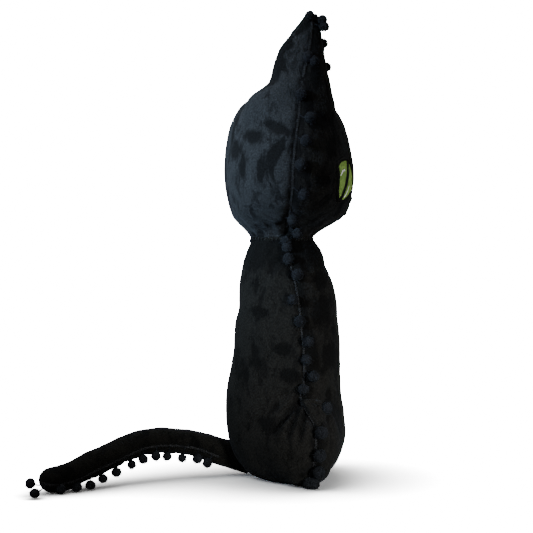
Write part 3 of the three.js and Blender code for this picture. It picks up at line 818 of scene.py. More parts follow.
        # Painted shade: darker just in front of the seam, where its groove and the pom-poms shade it, and
        # towards the neck under the head; the listed spots are flattened pile and painted shade, and each
        # crease is painted shade.
        worn = 0.75 * bell(away + 3 * MM, 6 * MM) + 0.8 * ramp(p[:, 2], 0.168, 0.202)
        worn = np.maximum(worn, np.where(outer, worn_spots(p, self.worn), 0))
        for crease in self.creases:
            move, crease_shade = press_crease(p, crease)
            shift += above * np.where(outer, move, 0)
            worn = np.maximum(worn, np.where(outer, crease_shade, 0))
        set_worn(obj, worn)
        p += n * shift[:, None]
        p[:, 2] = np.maximum(p[:, 2] - 0.9 * MM * (1 - ramp(p[:, 2], 0.0, 0.02)), 0.0)
        a, b = np.array(self.base_seam[0]), np.array(self.base_seam[1])
        t = np.clip(((p[:, :2] - a) @ (b - a)) / ((b - a) @ (b - a)), 0, 1)
        gap = np.linalg.norm(p[:, :2] - a - t[:, None] * (b - a), axis=1)
        p[:, 2] += np.where(p[:, 2] < 0.004, 1.8 * MM * bell(gap, 2.6 * MM), 0)
        set_points(obj, p)
        self.sew(obj, seam)
        return obj


def press_crease(points: np.ndarray, crease: Crease) -> tuple:
    """How far a crease moves each point along its normal, in along the line and a little out beside it.

    Args:
        points: The skin's points.
        crease: The crease.

    Returns:
        The move of each point, and how dark the crease is painted there as painted shade.
    """
    a, b = np.array(crease.start), np.array(crease.end)
    along = b - a
    q = points[:, 1:] - a
    t = np.clip((q @ along) / (along @ along), 0, 1)
    gap = np.linalg.norm(q - t[:, None] * along, axis=1)
    fade = np.sqrt(np.clip(1 - t, 0, 1)) * ramp(t, -0.2, 0.1)
    dip = -bell(gap, crease.width) + 0.5 * bell(gap - 2.1 * crease.width, crease.width)
    # The second value paints shade into the crease.
    return crease.depth * fade * dip, min(crease.depth / (3 * MM), 1.0) * fade * bell(gap, 1.1 * crease.width)


def worn_spots(points: np.ndarray, spots: tuple) -> np.ndarray:
    """Patches on the cat's sides painted darker: flattened pile and painted shade, such as the pom-poms'
    shadows.

    Args:
        points: The skin's points.
        spots: Each patch's Y and Z, its half sizes along them and its lean, in millimetres and degrees.

    Returns:
        How dark each point is painted.
    """
    out = np.zeros(len(points))
    for y, z, half_y, half_z, lean in spots:
        a = math.radians(lean)
        dy, dz = points[:, 1] - y * MM, points[:, 2] - z * MM
        across = (dy * math.cos(a) + dz * math.sin(a)) / (half_y * MM)
        upward = (dz * math.cos(a) - dy * math.sin(a)) / (half_z * MM)
        out = np.maximum(out, 1.2 * bell(np.hypot(across, upward), 1.0))
    return out


@dataclass
class HeadForm(StuffedForm):
    """The round head with both ears, cut in one with them."""

    base: float = 0.222
    height: float = 0.124
    half_width: float = 0.088
    front: float = 0.056
    back: float = 0.0585
    softening: int = 12
    eye: tuple = (0.0475, 0.2644, 0.018, 0.0191)
    pull: SeamPull = SeamPull(2.2 * MM, 2.8 * MM, 3.4 * MM, 0.65 * MM, 13)
    # Spots of flattened pile and of painted shade, such as the pom-poms' shadows on the ear front: Y, Z, half
    # sizes and lean.
    worn: tuple = (
        (26, 271, 4, 13, 8), (42, 276, 3, 10, 6), (12, 306, 12, 5, 25), (33, 300, 9, 6, 30),
        (-12, 330, 7, 14, 0), (-22, 312, 9, 8, 20), (-20, 352, 5, 12, 0), (-34, 290, 5, 10, 10),
        (-26, 262, 7, 5, 0), (48, 290, 5, 8, 0),
    )
    shares: tuple = (
        (-0.2, 0.3125, 0.33, 0.59, 5),
        (-0.064, 0.3125, 0.33, 0.59, 5),
        (0.0, 0.39, 0.48, 0.69, 4),
        (0.07, 0.64, 0.75, 0.84, 3),
        (0.145, 0.81, 0.87, 0.91, 1.5),
        (0.25, 0.945, 0.95, 0.96, 0),
        (0.39, 1.0, 1.0, 1.0, -0.7),
        (0.55, 0.99, 0.955, 1.0, -2),
        (0.71, 0.93, 0.875, 0.94, -5),
        (0.83, 0.85, 0.77, 0.845, -6.5),
        (0.92, 0.70, 0.62, 0.70, -7.6),
        (0.975, 0.48, 0.43, 0.40, -8.4),
        (1.0, 0.20, 0.25, 0.09, -9),
    )
    ear_rows: tuple = (
        (318, 50.0, 26.3, -37, 40, -5.8),
        (333, 49.0, 25.8, -37, 38.5, -7.2),
        (348, 49.0, 23.5, -34.5, 21, -9),
        (362, 51.0, 18.1, -31, 17, -12),
        (376, 53.9, 12.6, -28.5, 12, -15),
        (390, 56.8, 7.8, -26.5, 2, -16.8),
        (400, 58.8, 5.2, -25.0, -6.5, -17.6),
        (407.5, 59.5, 3.6, -24.0, -10.0, -17.8),
    )

    def rows(self) -> np.ndarray:
        """The head loft's sections."""
        return np.array([
            (self.base + z * self.height, half * self.half_width, -f * self.front, b * self.back, seam * MM)
            for z, half, f, b, seam in self.shares
        ])

    def seam(self) -> SeamLine:
        """The seam over the cheeks and up both ears."""
        head = self.rows()
        head = head[head[:, 0] < 0.344]
        ears = np.array(self.ear_rows)[2:] * MM
        heights = np.concatenate([head[:, 0], ears[:, 0], [0.42]])
        places = np.concatenate([head[:, 4], ears[:, 5], [ears[-1, 5]]])
        return SeamLine(heights, places)

    def meeting(self, points: np.ndarray) -> np.ndarray:
        """The skin is smoothed most where the ears grow out of the head."""
        return bell(points[:, 2] - 0.340, 0.012)

    def ear_part(self, side: Side) -> tuple:
        """One ear as a closed cone."""
        rows = np.array(self.ear_rows) * MM
        section = rows[:, [0, 2, 3, 4, 5]]
        return self.loft(section, side.value * rows[:, 1], 50, 40)

    def held_ends(self, z: np.ndarray) -> np.ndarray:
        """The skin is held at the neck and, less firmly, up the ears."""
        return np.maximum(1 - ramp(z, 0.222, 0.236), 0.75 * ramp(z, 0.352, 0.380))

    def skin(self) -> bpy.types.Object:
        """Make the whole skin of the head and ears."""
        obj = self.blow_up([self.loft(self.rows())] + [self.ear_part(s) for s in Side])
        seam = self.seam()
        p, n = points_of(obj), normals_of(obj)
        away = p[:, 1] - seam.at(p[:, 2])
        slim = 1 - 0.65 * ramp(p[:, 2], 0.340, 0.395)
        pulled = self.pull.move(p, away, p[:, 2] + 0.6 * np.abs(p[:, 0]), slim)
        lumps = cloth_lumps(p, (0.7 * MM, 0.040), (0.3 * MM, 0.012), 15)
        gathers = neck_gathers(p, 0.50 * MM * (1 - ramp(p[:, 2], 0.218, 0.246)), 19, 19)
        x, z, half, tall = self.eye
        ring = np.sqrt(((np.abs(p[:, 0]) - x) / half) ** 2 + ((p[:, 2] - z) / tall) ** 2)
        in_front = p[:, 1] < -0.015
        calm = np.where(in_front, 1 - ramp(1.5 - ring, 0.0, 0.5), 1)
        drawn = np.where(in_front, -1.0 * MM * bell(ring - 1.10, 0.13), 0)
        # Painted shade in front of the seam, where its groove and the pom-poms shade it, together with the
        # listed spots.
        set_worn(obj, np.maximum(0.6 * bell(away + 3 * MM, 6 * MM), worn_spots(p, self.worn)))
        p += n * (pulled + slim * calm * lumps + gathers + drawn)[:, None]
        set_points(obj, p)
        self.sew(obj, seam)
        return obj


# --- Small pieces laid on the cloth ---


class Surface:
    """A finished skin that stitches, folds and fringe are laid on."""

    def __init__(self, obj: bpy.types.Object) -> None:
        """Keep a fast copy of the skin."""
        mesh = obj.data
        cells = [tuple(p.vertices) for p in mesh.polygons]
        self.tree = BVHTree.FromPolygons([v.co.copy() for v in mesh.vertices], cells)

    def hit(self, origin: tuple, direction: tuple) -> tuple | None:
        """Where a straight line first meets the skin.

        Args:
            origin: Where the line starts.
            direction: Which way it goes.

        Returns:
            The place and the outward normal, or None if it misses.
        """
        way = Vector(direction)
        place, normal, _, _ = self.tree.ray_cast(Vector(origin), way)
        if place is None:
            return None
        return np.array(place), np.array(-normal if normal.dot(way) > 0 else normal)

    def from_side(self, side: Side, y: float, z: float, inner: bool = False) -> tuple | None:
        """Meet the skin from outside the cat's side, or from its middle plane for an ear's inner edge."""
        if inner:
            return self.hit((0, y, z), (side.value, 0, 0))
        return self.hit((side.value * 0.3, y, z), (-side.value, 0, 0))

    def from_front(self, x: float, z: float) -> tuple | None:
        """Meet the skin from in front."""
        return self.hit((x, -0.3, z), (0, 1, 0))


def merge(parts: list) -> tuple:
    """Put several parts of points and faces into one."""
    points, faces, start = [], [], 0
    for part_points, part_faces in parts:
        points.append(np.asarray(part_points).reshape(-1, 3))
        faces += [[i + start for i in face] for face in part_faces]
        start += len(points[-1])
    return np.vstack(points), faces


def slab(top: np.ndarray, bottom: np.ndarray, closed: bool = False) -> tuple:
    """A closed pad between two grids of points.

    Args:
        top: The upper grid, rows by columns by 3.
        bottom: The lower grid of the same size.
        closed: Whether the last row joins the first, as in a ring.

    Returns:
        The points and faces.
    """
    rows, columns = top.shape[:2]
    base = rows * columns
    faces = []
    for i in range(rows if closed else rows - 1):
        a, b = i * columns, ((i + 1) % rows) * columns
        for j in range(columns - 1):
            faces.append((a + j, a + j + 1, b + j + 1, b + j))
            faces.append((base + b + j, base + b + j + 1, base + a + j + 1, base + a + j))
        faces.append((a, b, base + b, base + a))
        faces.append((base + a + columns - 1, base + b + columns - 1, b + columns - 1, a + columns - 1))
    if not closed:
        end = base - columns
        for j in range(columns - 1):
            faces.append((j, base + j, base + j + 1, j + 1))
            faces.append((end + j + 1, base + end + j + 1, base + end + j, end + j))
    return np.vstack([top.reshape(-1, 3), bottom.reshape(-1, 3)]), faces


def unit(vectors: np.ndarray) -> np.ndarray:
    """Vectors made one long."""
    return vectors / np.maximum(np.linalg.norm(vectors, axis=-1, keepdims=True), 1e-12)


def resample(path: np.ndarray, count: int) -> np.ndarray:
    """Evenly spaced points along a path."""
    run = np.concatenate([[0], np.cumsum(np.linalg.norm(np.diff(path, axis=0), axis=1))])
    s = np.linspace(0, run[-1], count)
    return np.stack([np.interp(s, run, path[:, i]) for i in range(path.shape[1])], axis=1)


def tube(path: np.ndarray, radius: np.ndarray | float, around: int = 6) -> tuple:
    """A closed round tube along a path."""
    along = unit(np.gradient(path, axis=0))
    guide = np.eye(3)[int(np.argmin(np.abs(along).mean(axis=0)))]
    right = unit(np.cross(guide, along))
    up = np.cross(along, right)
    angle = np.linspace(0, 2 * np.pi, around, endpoint=False)[None, :, None]
    size = np.broadcast_to(radius, len(path))[:, None, None]
    points = path[:, None] + size * (np.cos(angle) * right[:, None] + np.sin(angle) * up[:, None])
    return points.reshape(-1, 3), ring_faces(len(path), around)


def grain_shape() -> tuple:
    """One short plump stitch, long in its first axis, as points and faces."""
    sides = 6
    angle = np.arange(sides) * 2 * np.pi / sides
    points = [(-1.0, 0.0, 0.0)]
    for x, r in ((-0.6, 0.75), (0.0, 1.0), (0.6, 0.75)):
        points += [(x, r * math.cos(a), r * math.sin(a)) for a in angle]
    points.append((1.0, 0.0, 0.0))
    following = [(j + 1) % sides for j in range(sides)]
    faces = [(0, 1 + k, 1 + j) for j, k in enumerate(following)]
    for a in (1, 1 + sides):
        faces += [(a + j, a + k, a + sides + k, a + sides + j) for j, k in enumerate(following)]
    a = 1 + 2 * sides
    faces += [(a + j, a + k, a + sides) for j, k in enumerate(following)]
    return np.array(points), faces


def lay_grains(centres: np.ndarray, long: np.ndarray, wide: np.ndarray, thick: np.ndarray) -> tuple:
    """Many stitches at once.

    Args:
        centres: The middle of each stitch.
        long: Half of each stitch's length, as a vector.
        wide: Half of its width, as a vector.
        thick: Half of its thickness, as a vector.

    Returns:
        The points and faces of all of them.
    """
    shape, faces = grain_shape()
    points = (
        centres[:, None]
        + shape[None, :, 0:1] * long[:, None]
        + shape[None, :, 1:2] * wide[:, None]
        + shape[None, :, 2:3] * thick[:, None]
    )
    everything = [[i + k * len(shape) for i in face] for k in range(len(centres)) for face in faces]
    return points.reshape(-1, 3), everything


@dataclass(frozen=True)
class Bend:
    """The two bodies that a piece of cloth lies between, and where its bend would start and end."""

    first: str
    second: str
    start: tuple
    end: tuple


LOWER_NECK = Bend("body", "neck", (0, NECK_Y, 0.170), (0, NECK_Y, 0.212))
UPPER_NECK = Bend("neck", "head", (0, NECK_Y, NECK_Z), (0, NECK_Y, 0.240))


def settle(
    obj: bpy.types.Object,
    finish: Finish,
    nodes: tuple,
    rides: str | Bend,
) -> bpy.types.Object:
    """Finish a piece: its faces, shading and material, the frame's nodes that it hides, and the body it moves
    with; a piece given a bend is fixed in place.

    Args:
        obj: The piece.
        finish: Its finish.
        nodes: The frame's nodes that it replaces.
        rides: The body it moves with, or a bend, for which the piece is fixed in place and moves with no body.

    Returns:
        The same piece.
    """
    work = bmesh.new()
    work.from_mesh(obj.data)
    bmesh.ops.recalc_face_normals(work, faces=work.faces)
    work.to_mesh(obj.data)
    work.free()
    make_active(obj)
    bpy.ops.object.shade_smooth_by_angle(angle=math.radians(55))
    deselect_all()
    dress(obj, finish)
    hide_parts(*nodes)
    if isinstance(rides, Bend):
        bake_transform(obj)
    else:
        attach(obj, rides)
    LOG.info("%s: %d faces", obj.name, len(obj.data.polygons))
    return obj


@dataclass(frozen=True)
class Ball:
    """Where a pom-pom lies: its height and its distance behind the side seam, in millimetres."""

    height: float
    behind: float
    inner: bool = False


@dataclass
class Fringe:
    """One run of ball fringe: a braided edge standing out of the seam, with pom-poms on strings."""

    name: str
    nodes: tuple
    rides: str | Bend
    path: np.ndarray
    out: np.ndarray
    balls: list = field(default_factory=list)
    radius: float = 5.6 * MM
    pitch: float = 2.0 * MM
    fibres: int = 130

    def braid(self) -> tuple:
        """The edge's braid: pairs of tilted stitches in a chain."""
        length = np.linalg.norm(np.diff(self.path, axis=0), axis=1).sum()
        count = max(4, int(length / self.pitch))
        both = resample(np.hstack([self.path, self.out * 1e-6]), count)
        centre, out = both[:, :3], unit(both[:, 3:])
        along = unit(np.gradient(centre, axis=0))
        across = unit(np.cross(along, out))
        out = np.cross(across, along)
        parts = []
        for hand in (-1, 1):
            way = unit(along * math.cos(0.6) + across * hand * math.sin(0.6))
            middle = centre + across * hand * 0.45 * MM + out * 0.7 * MM
            parts.append(lay_grains(middle, way * 1.4 * MM, np.cross(out, way) * 0.5 * MM, out * 0.55 * MM))
        core = tube(resample(centre, max(8, count)), 0.75 * MM, 6)
        return merge([*parts, core])

    def pompom(self, centre: np.ndarray, rng: random.Random) -> list:
        """One ball of cut yarn: a lumpy core with loose fibre ends.

        Args:
            centre: Its middle.
            rng: The seeded random source.

        Returns:
            Parts of points and faces.
        """
        points, faces = unit_ball()
        seed = rng.randint(1, 900)
        grow = 1 + 0.10 * smooth_noise(points, 0.5, seed) + 0.09 * smooth_noise(points, 0.22, seed + 1)
        squeeze = np.array([rng.uniform(0.88, 1.0), rng.uniform(0.9, 1.04), rng.uniform(0.9, 1.04)])
        size = self.radius * rng.uniform(0.9, 1.06)
        parts = [(centre + points * squeeze * grow[:, None] * size * 0.93, faces)]
        count = self.fibres
        way = unit(np.array([[rng.gauss(0, 1) for _ in range(3)] for _ in range(count)]))
        lean = np.array([[rng.gauss(0, 0.22) for _ in range(3)] for _ in range(count)])
        reach = np.array([rng.uniform(1.0, 1.22) for _ in range(count)])[:, None]
        side = unit(np.cross(way, np.roll(way, 1, axis=0) + 0.01))
        other = np.cross(way, side)
        root = centre + way * size * 0.72
        thick = 0.055 * size
        fibre = np.stack([
            root + side * thick,
            root - 0.5 * side * thick + 0.87 * other * thick,
            root - 0.5 * side * thick - 0.87 * other * thick,
            centre + (way + lean * 0.6) * size * reach,
        ], axis=1)
        cells = ((0, 2, 1), (0, 1, 3), (1, 2, 3), (2, 0, 3))
        tufts = [[i + 4 * k for i in cell] for k in range(count) for cell in cells]
        parts.append((fibre.reshape(-1, 3), tufts))
        for points, _ in parts:
            points[:, 2] = np.maximum(points[:, 2], FLOOR_GAP)
        return parts

    def string(self, root: np.ndarray, centre: np.ndarray) -> tuple:
        """The thin string from the edge to a ball, sagging a little."""
        t = np.linspace(0, 1, 7)[:, None]
        path = root + (centre - root) * t
        path[:, 2] -= (1.2 * MM * np.sin(math.pi * t))[:, 0]
        return tube(path, 0.6 * MM, 5)
    def hang(self, surface: Surface, seam: SeamLine, side: Side, spots: tuple, seed: int, top: float) -> None:
        """Lay the run's pom-poms against the cloth beside a side seam.

        Args:
            surface: The cloth.
            seam: The seam.
            side: Which side of the cat.
            spots: The balls' places.
            seed: The seed of the random source, which varies the side that is the further one.
            top: The highest place where a string can start.
        """
        rng = random.Random(seed)
        loose = 0.0 if side is Side.RIGHT else 1.0
        lowest = BALL_SINK * self.radius
        for spot in spots:
            z = max(spot.height * MM + loose * rng.uniform(-2, 2) * MM, lowest)
            y = float(seam.at(z)) + spot.behind * MM + loose * rng.uniform(-2, 2) * MM
            root_z = min(max(z + 5 * MM, 6 * MM), top)
            root_hit = surface.from_side(side, float(seam.at(root_z)), root_z, spot.inner)
            hit = surface.from_side(side, y, z, spot.inner)
            if root_hit is None:
                root_hit = surface.from_side(side, float(seam.at(z - 4 * MM)), z - 4 * MM, spot.inner)
            root = root_hit[0]
            if hit is None:
                lean = -side.value if spot.inner else side.value
                centre = np.array([root[0] + lean * 0.6 * self.radius, y, z])
            else:
                centre = hit[0] + hit[1] * 0.98 * self.radius
            centre[2] = max(centre[2], lowest)
            self.balls.append((root, centre))
    def build(self) -> list:
        """Make the braid and the balls of the run."""
        rng = random.Random(self.name)
        points, faces = self.braid()
        tape = add_object(f"{self.name}_braid", points, faces)
        pieces = [settle(tape, BRAID, self.nodes, self.rides)]
        if self.balls:
            parts = []
            for root, centre in self.balls:
                parts.append(self.string(root, centre))
                parts += self.pompom(centre, rng)
            points, faces = merge(parts)
            balls = add_object(f"{self.name}_pompoms", points, faces)
            pieces.append(settle(balls, POMPOM, self.nodes, self.rides))
        return pieces


def unit_ball() -> tuple:
    """A round ball of radius 1, made of even small faces."""
    work = bmesh.new()
    bmesh.ops.create_icosphere(work, subdivisions=3, radius=1.0)
    work.verts.index_update()
    points = np.array([v.co[:] for v in work.verts])
    faces = [[v.index for v in f.verts] for f in work.faces]
    work.free()
    return points, faces


def window_sum(rows: np.ndarray) -> np.ndarray:
    """The sum of each row with two neighbours on each side, the end rows counting again."""
    padded = np.vstack([rows[:1]] * 2 + [rows] + [rows[-1:]] * 2)
    return sum(padded[i:i + len(rows)] for i in range(5))


def side_path(surface: Surface, seam: SeamLine, side: Side, heights: np.ndarray, inner: bool = False) -> tuple:
    """The groove of a side seam as an even path, with the way out at each point."""
    found = [surface.from_side(side, float(seam.at(z)), float(z), inner) for z in heights]
    kept = [f for f in found if f is not None]
    path = np.array([place for place, _ in kept])
    out = np.array([normal for _, normal in kept])
    return window_sum(path) / 5, unit(window_sum(out))


def panel_nodes(stem: str, half: str) -> tuple:
    """The nodes that half a skin stands for: its panel and, for the front one, the filling."""
    panel = f"{stem}_{half}_panel"
    return (panel, f"{stem}_filling") if half == "front" else (panel,)


# --- The cat's sub-assemblies ---


@dataclass
class Body:
    """The stuffed body with its closing seam, hip folds and side fringe."""

    form: BodyForm
    balls: tuple = (
        Ball(210, -2.3), Ball(204, 3.6), Ball(194, -0.9), Ball(182, -4.5), Ball(161, 5.2), Ball(143, -1.0),
        Ball(124, -4.2), Ball(109, 0.2), Ball(96, -5.6), Ball(83, 0.5), Ball(66, -13.5), Ball(48, -3.6),
        Ball(30, -3.4), Ball(18.5, -4.8), Ball(7, -3.6), Ball(4, 1.5),
    )
    surface: Surface | None = None

    def build(self) -> list:
        """Make the body's pieces."""
        skin = self.form.skin()
        self.surface = Surface(skin)
        seam = self.form.seam()
        centres = face_centres(skin)
        below = centres[:, 2] < NECK_Z
        front = centres[:, 1] < seam.at(centres[:, 2])
        pieces = []
        for name, mask, shift, nodes in (
            ("body_front_cloth", front, -SEAM_GAP, ("body_front_panel", "body_filling", "pellet_bag")),
            ("body_back_cloth", ~front, SEAM_GAP, ("body_back_panel", "neck_gather", "neck_filling")),
        ):
            cloth = cut_piece(skin, name, mask & below, shift)
            pieces.append(settle(cloth, BODY_PLUSH_PAINTED_SHADE, nodes, LOWER_NECK))
        bpy.data.objects.remove(skin)
        for side in Side:
            pieces += self.side_fringe(side)
            pieces.append(self.hip_fold(side))
        pieces.append(self.closing_seam())
        return pieces

    def side_fringe(self, side: Side) -> list:
        """The ball fringe down one side."""
        seam = self.form.seam()
        path, out = side_path(self.surface, seam, side, np.arange(0.006, 0.2095, SEAM_STEP))
        fringe = Fringe(f"fringe_body_{side.label}", (f"body_trim_{side.label}",), LOWER_NECK, path, out)
        fringe.hang(self.surface, seam, side, self.balls, SEED, 0.209)
        return fringe.build()

    def hip_fold(self, side: Side) -> bpy.types.Object:
        """The leaf of surplus cloth that folds forward over the haunch at the seam's corner."""
        rows, columns = 30, 14
        top, low = np.array([-0.008, 0.0760]), np.array([-0.0210, 0.0505])
        outer = np.array([-0.0315, 0.0700])
        t = np.linspace(0, 1, rows)[:, None]
        inner_edge = top + (low - top) * t + np.array([0.0010, 0.0006]) * np.sin(np.pi * t)
        outer_edge = curve(top, outer + (outer - 0.5 * (top + low)) * 0.75, low, rows, True)
        above, below = np.empty((rows, columns, 3)), np.empty((rows, columns, 3))
        for i in range(rows):
            plump = math.sin(math.pi * min(max(t[i, 0], 0.02), 0.98)) ** 0.6
            for j, w in enumerate(np.linspace(0, 1, columns)):
                y, z = inner_edge[i] + (outer_edge[i] - inner_edge[i]) * w
                place, normal = self.surface.from_side(side, y, z)
                dent = 1 - 0.6 * math.exp(-(((w - 0.55) / 0.12) ** 2))
                roll = math.sin(math.pi * min(w, 0.97)) ** 0.7 * dent
                above[i, j] = place + normal * (0.5 + (3.8 * roll + 1.2 * w) * plump) * MM
                below[i, j] = place - normal * 1.2 * MM
        points, faces = slab(above, below)
        obj = add_object(f"hip_fold_cloth_{side.label}", points, faces)
        return settle(obj, BODY_PLUSH_PAINTED_SHADE, (f"hip_fold_{side.label}",), "body")

    def closing_seam(self) -> bpy.types.Object:
        """The hand stitches that close the base between the two panels."""
        (x0, y0), (x1, y1) = self.form.base_seam
        count = 21
        k = np.linspace(0, 1, count)
        centre = np.stack([x0 + (x1 - x0) * k, y0 + (y1 - y0) * k, np.full(count, 1.2 * MM)], axis=1)
        lean = np.where(np.arange(count) % 2 == 0, 1.0, -1.0)
        way = unit(np.stack([0.35 * lean, np.ones(count), np.zeros(count)], axis=1))
        up = np.tile(UPWARDS, (count, 1))
        grains = lay_grains(centre, way * 2.6 * MM, np.cross(up, way) * 0.6 * MM, up * 0.6 * MM)
        obj = add_object("base_seam_stitches", *grains)
        return settle(obj, BRAID, ("base_closing_seam",), "body")


@dataclass
class Neck:
    """The stitched ridge around the narrow neck."""

    half: float = 0.0275
    front: float = -0.0185
    back: float = 0.0345
    seam: float = 0.005
    rope: float = 1.7 * MM
    stitches: int = 52

    def build(self) -> list:
        """Make the ridge as a lumpy roll of cloth with overcast stitches."""
        rows, around = 312, 10
        a = np.linspace(0, 2 * np.pi, rows, endpoint=False)
        depth = np.where(np.sin(a) >= 0, self.back - self.seam, self.seam - self.front)
        centre = np.stack([self.half * np.cos(a), self.seam + depth * np.sin(a), np.full(rows, NECK_Z)], axis=1)
        centre[:, 2] += 0.7 * MM * np.sin(3 * a + 0.8) + 0.5 * MM * np.sin(7 * a)
        along = unit(np.roll(centre, -1, axis=0) - np.roll(centre, 1, axis=0))
        out = unit(np.cross(along, UPWARDS))
        centre += out * 0.4 * MM
        lump = 1 + 0.20 * np.cos(self.stitches * a) + 0.12 * smooth_noise(centre, 0.008, 31)
        ring = np.linspace(0, 2 * np.pi, around, endpoint=False)
        points = centre[:, None] + (self.rope * lump)[:, None, None] * (
            np.cos(ring)[None, :, None] * out[:, None] + np.sin(ring)[None, :, None] * np.array(UPWARDS)
        )
        faces = [[i % (rows * around) for i in face] for face in ring_faces(rows + 1, around, False)]
        roll = add_object("neck_seam_roll", points.reshape(-1, 3), faces)
        pieces = [settle(roll, BODY_PLUSH_PAINTED_SHADE, ("neck_seam_ridge",), "neck")]
        pick = np.arange(0, rows, rows // self.stitches)
        tilt = unit(along[pick] * 0.35 + np.array(UPWARDS))
        middle = centre[pick] + out[pick] * self.rope * 0.92
        wide = np.cross(out[pick], tilt)
        grains = lay_grains(middle, tilt * 2.1 * MM, wide * 0.42 * MM, out[pick] * 0.5 * MM)
        thread = add_object("neck_seam_stitches", *grains)
        pieces.append(settle(thread, BRAID, ("neck_seam_ridge",), "neck"))
        return pieces


@dataclass
class Head:
    """The stuffed head and ears with their fringe."""

    form: HeadForm
    head_balls: tuple = (
        Ball(334, 1.5), Ball(313, -8.0), Ball(294.5, -7.6), Ball(274.5, -6.0), Ball(253, -8.6),
        Ball(234, -4.4), Ball(223, -7.0),
    )
    ear_balls: tuple = (
        Ball(363, -5.5), Ball(367, -1), Ball(400, -8.5), Ball(394, -10.5), Ball(402, 3.0),
        Ball(383, -11, True), Ball(364, -18, True),
    )
    surface: Surface | None = None

    def build(self) -> list:
        """Make the head's and ears' pieces."""
        skin = self.form.skin()
        self.surface = Surface(skin)
        seam = self.form.seam()
        centres = face_centres(skin)
        head = (centres[:, 2] > NECK_Z) & (centres[:, 2] < EAR_CUT_Z)
        front = centres[:, 1] < seam.at(centres[:, 2])
        pieces = []
        for half, mask, shift in (("front", front, -SEAM_GAP), ("back", ~front, SEAM_GAP)):
            # The front panels of head and ears take the plush copy painted in shade, the back panels the copy
            # painted lit.
            finish = FACE_PLUSH_PAINTED_SHADE if half == "front" else HEAD_PLUSH_PAINTED_LIT
            cloth = cut_piece(skin, f"head_{half}_cloth", mask & head, shift)
            pieces.append(settle(cloth, finish, panel_nodes("head", half), UPPER_NECK))
            for side in Side:
                ear = mask & (centres[:, 2] >= EAR_CUT_Z) & (centres[:, 0] * side.value > 0)
                stem = f"ear_{side.label}"
                cloth = cut_piece(skin, f"{stem}_{half}_cloth", ear, shift)
                nodes = panel_nodes(stem, half)
                pieces.append(settle(cloth, finish, nodes, self.ear_bend(side)))
        bpy.data.objects.remove(skin)
        for side in Side:
            pieces += self.side_fringe(side)
            pieces += self.ear_fringe(side)
        pieces += self.crown_fringe()
        return pieces

    def ear_bend(self, side: Side) -> Bend:
        """Where an ear's cloth bends."""
        x = side.value * 0.049
        return Bend("head", f"ear_{side.label}", (x, -0.009, EAR_CUT_Z), (x, -0.009, EAR_BEND_END_Z))

    def side_fringe(self, side: Side) -> list:
        """The ball fringe over one cheek."""
        seam = self.form.seam()
        path, out = side_path(self.surface, seam, side, np.arange(0.2225, 0.3480, SEAM_STEP))
        fringe = Fringe(f"fringe_head_{side.label}", (f"head_trim_{side.label}",), UPPER_NECK, path, out)
        fringe.hang(self.surface, seam, side, self.head_balls, SEED + 1, 0.346)
        return fringe.build()

    def ear_fringe(self, side: Side) -> list:
        """The ball fringe up the outside of one ear, over its tip and down the inside."""
        seam = self.form.seam()
        up, up_out = side_path(self.surface, seam, side, np.arange(0.3500, 0.4045, SEAM_STEP))
        down, down_out = side_path(self.surface, seam, side, np.arange(0.4045, 0.3520, -SEAM_STEP), True)
        tip = 0.5 * (up[-1] + down[0])
        tip_hit = self.surface.hit((tip[0], tip[1], 0.5), (0, 0, -1))
        top = tip_hit[0] if tip_hit else tip + np.array([0, 0, 2 * MM])
        path = np.vstack([up, top[None], down])
        out = np.vstack([up_out, [UPWARDS], down_out])
        stem = f"ear_{side.label}"
        fringe = Fringe(f"fringe_{stem}", (f"{stem}_trim",), self.ear_bend(side), path, out, radius=EAR_BALL)
        fringe.hang(self.surface, seam, side, self.ear_balls, SEED + 2, 0.402)
        return fringe.build()

    def crown_fringe(self) -> list:
        """The ball fringe over the crown between the ears."""
        seam_y = float(self.form.seam().at(0.345))
        found = [self.surface.hit((x, seam_y, 0.5), (0, 0, -1)) for x in np.linspace(-0.024, 0.024, 33)]
        path = np.array([place for place, _ in found])
        out = np.tile(UPWARDS, (len(path), 1))
        fringe = Fringe("fringe_crown", ("crown_trim",), "head", path, out)
        for x, ahead in ((-0.0165, 6.5), (0.001, -5.0), (0.0160, 7.0)):
            y = seam_y - ahead * MM
            place, normal = self.surface.hit((x, y, 0.5), (0, 0, -1))
            root, _ = self.surface.hit((x + 3 * MM, seam_y, 0.5), (0, 0, -1))
            fringe.balls.append((root, place + normal * 0.9 * fringe.radius))
        return fringe.build()


def curve(start: tuple, control: tuple, end: tuple, count: int = 24, whole: bool = False) -> np.ndarray:
    """Points along a curve with one control point; only a whole one has its last point."""
    t = np.linspace(0, 1, count, endpoint=whole)[:, None]
    return (1 - t) ** 2 * np.array(start) + 2 * t * (1 - t) * np.array(control) + t**2 * np.array(end)


def bowed(start: tuple, end: tuple, bow: float, count: int) -> tuple:
    """A bowed line and its sideways direction at each point."""
    a, b = np.array(start), np.array(end)
    t = np.linspace(0, 1, count)[:, None]
    along = (b - a) / np.linalg.norm(b - a)
    points = a + (b - a) * t + np.array([-along[1], along[0]]) * bow * 4 * t * (1 - t)
    way = unit(np.gradient(points, axis=0))
    return points, np.stack([-way[:, 1], way[:, 0]], axis=1)


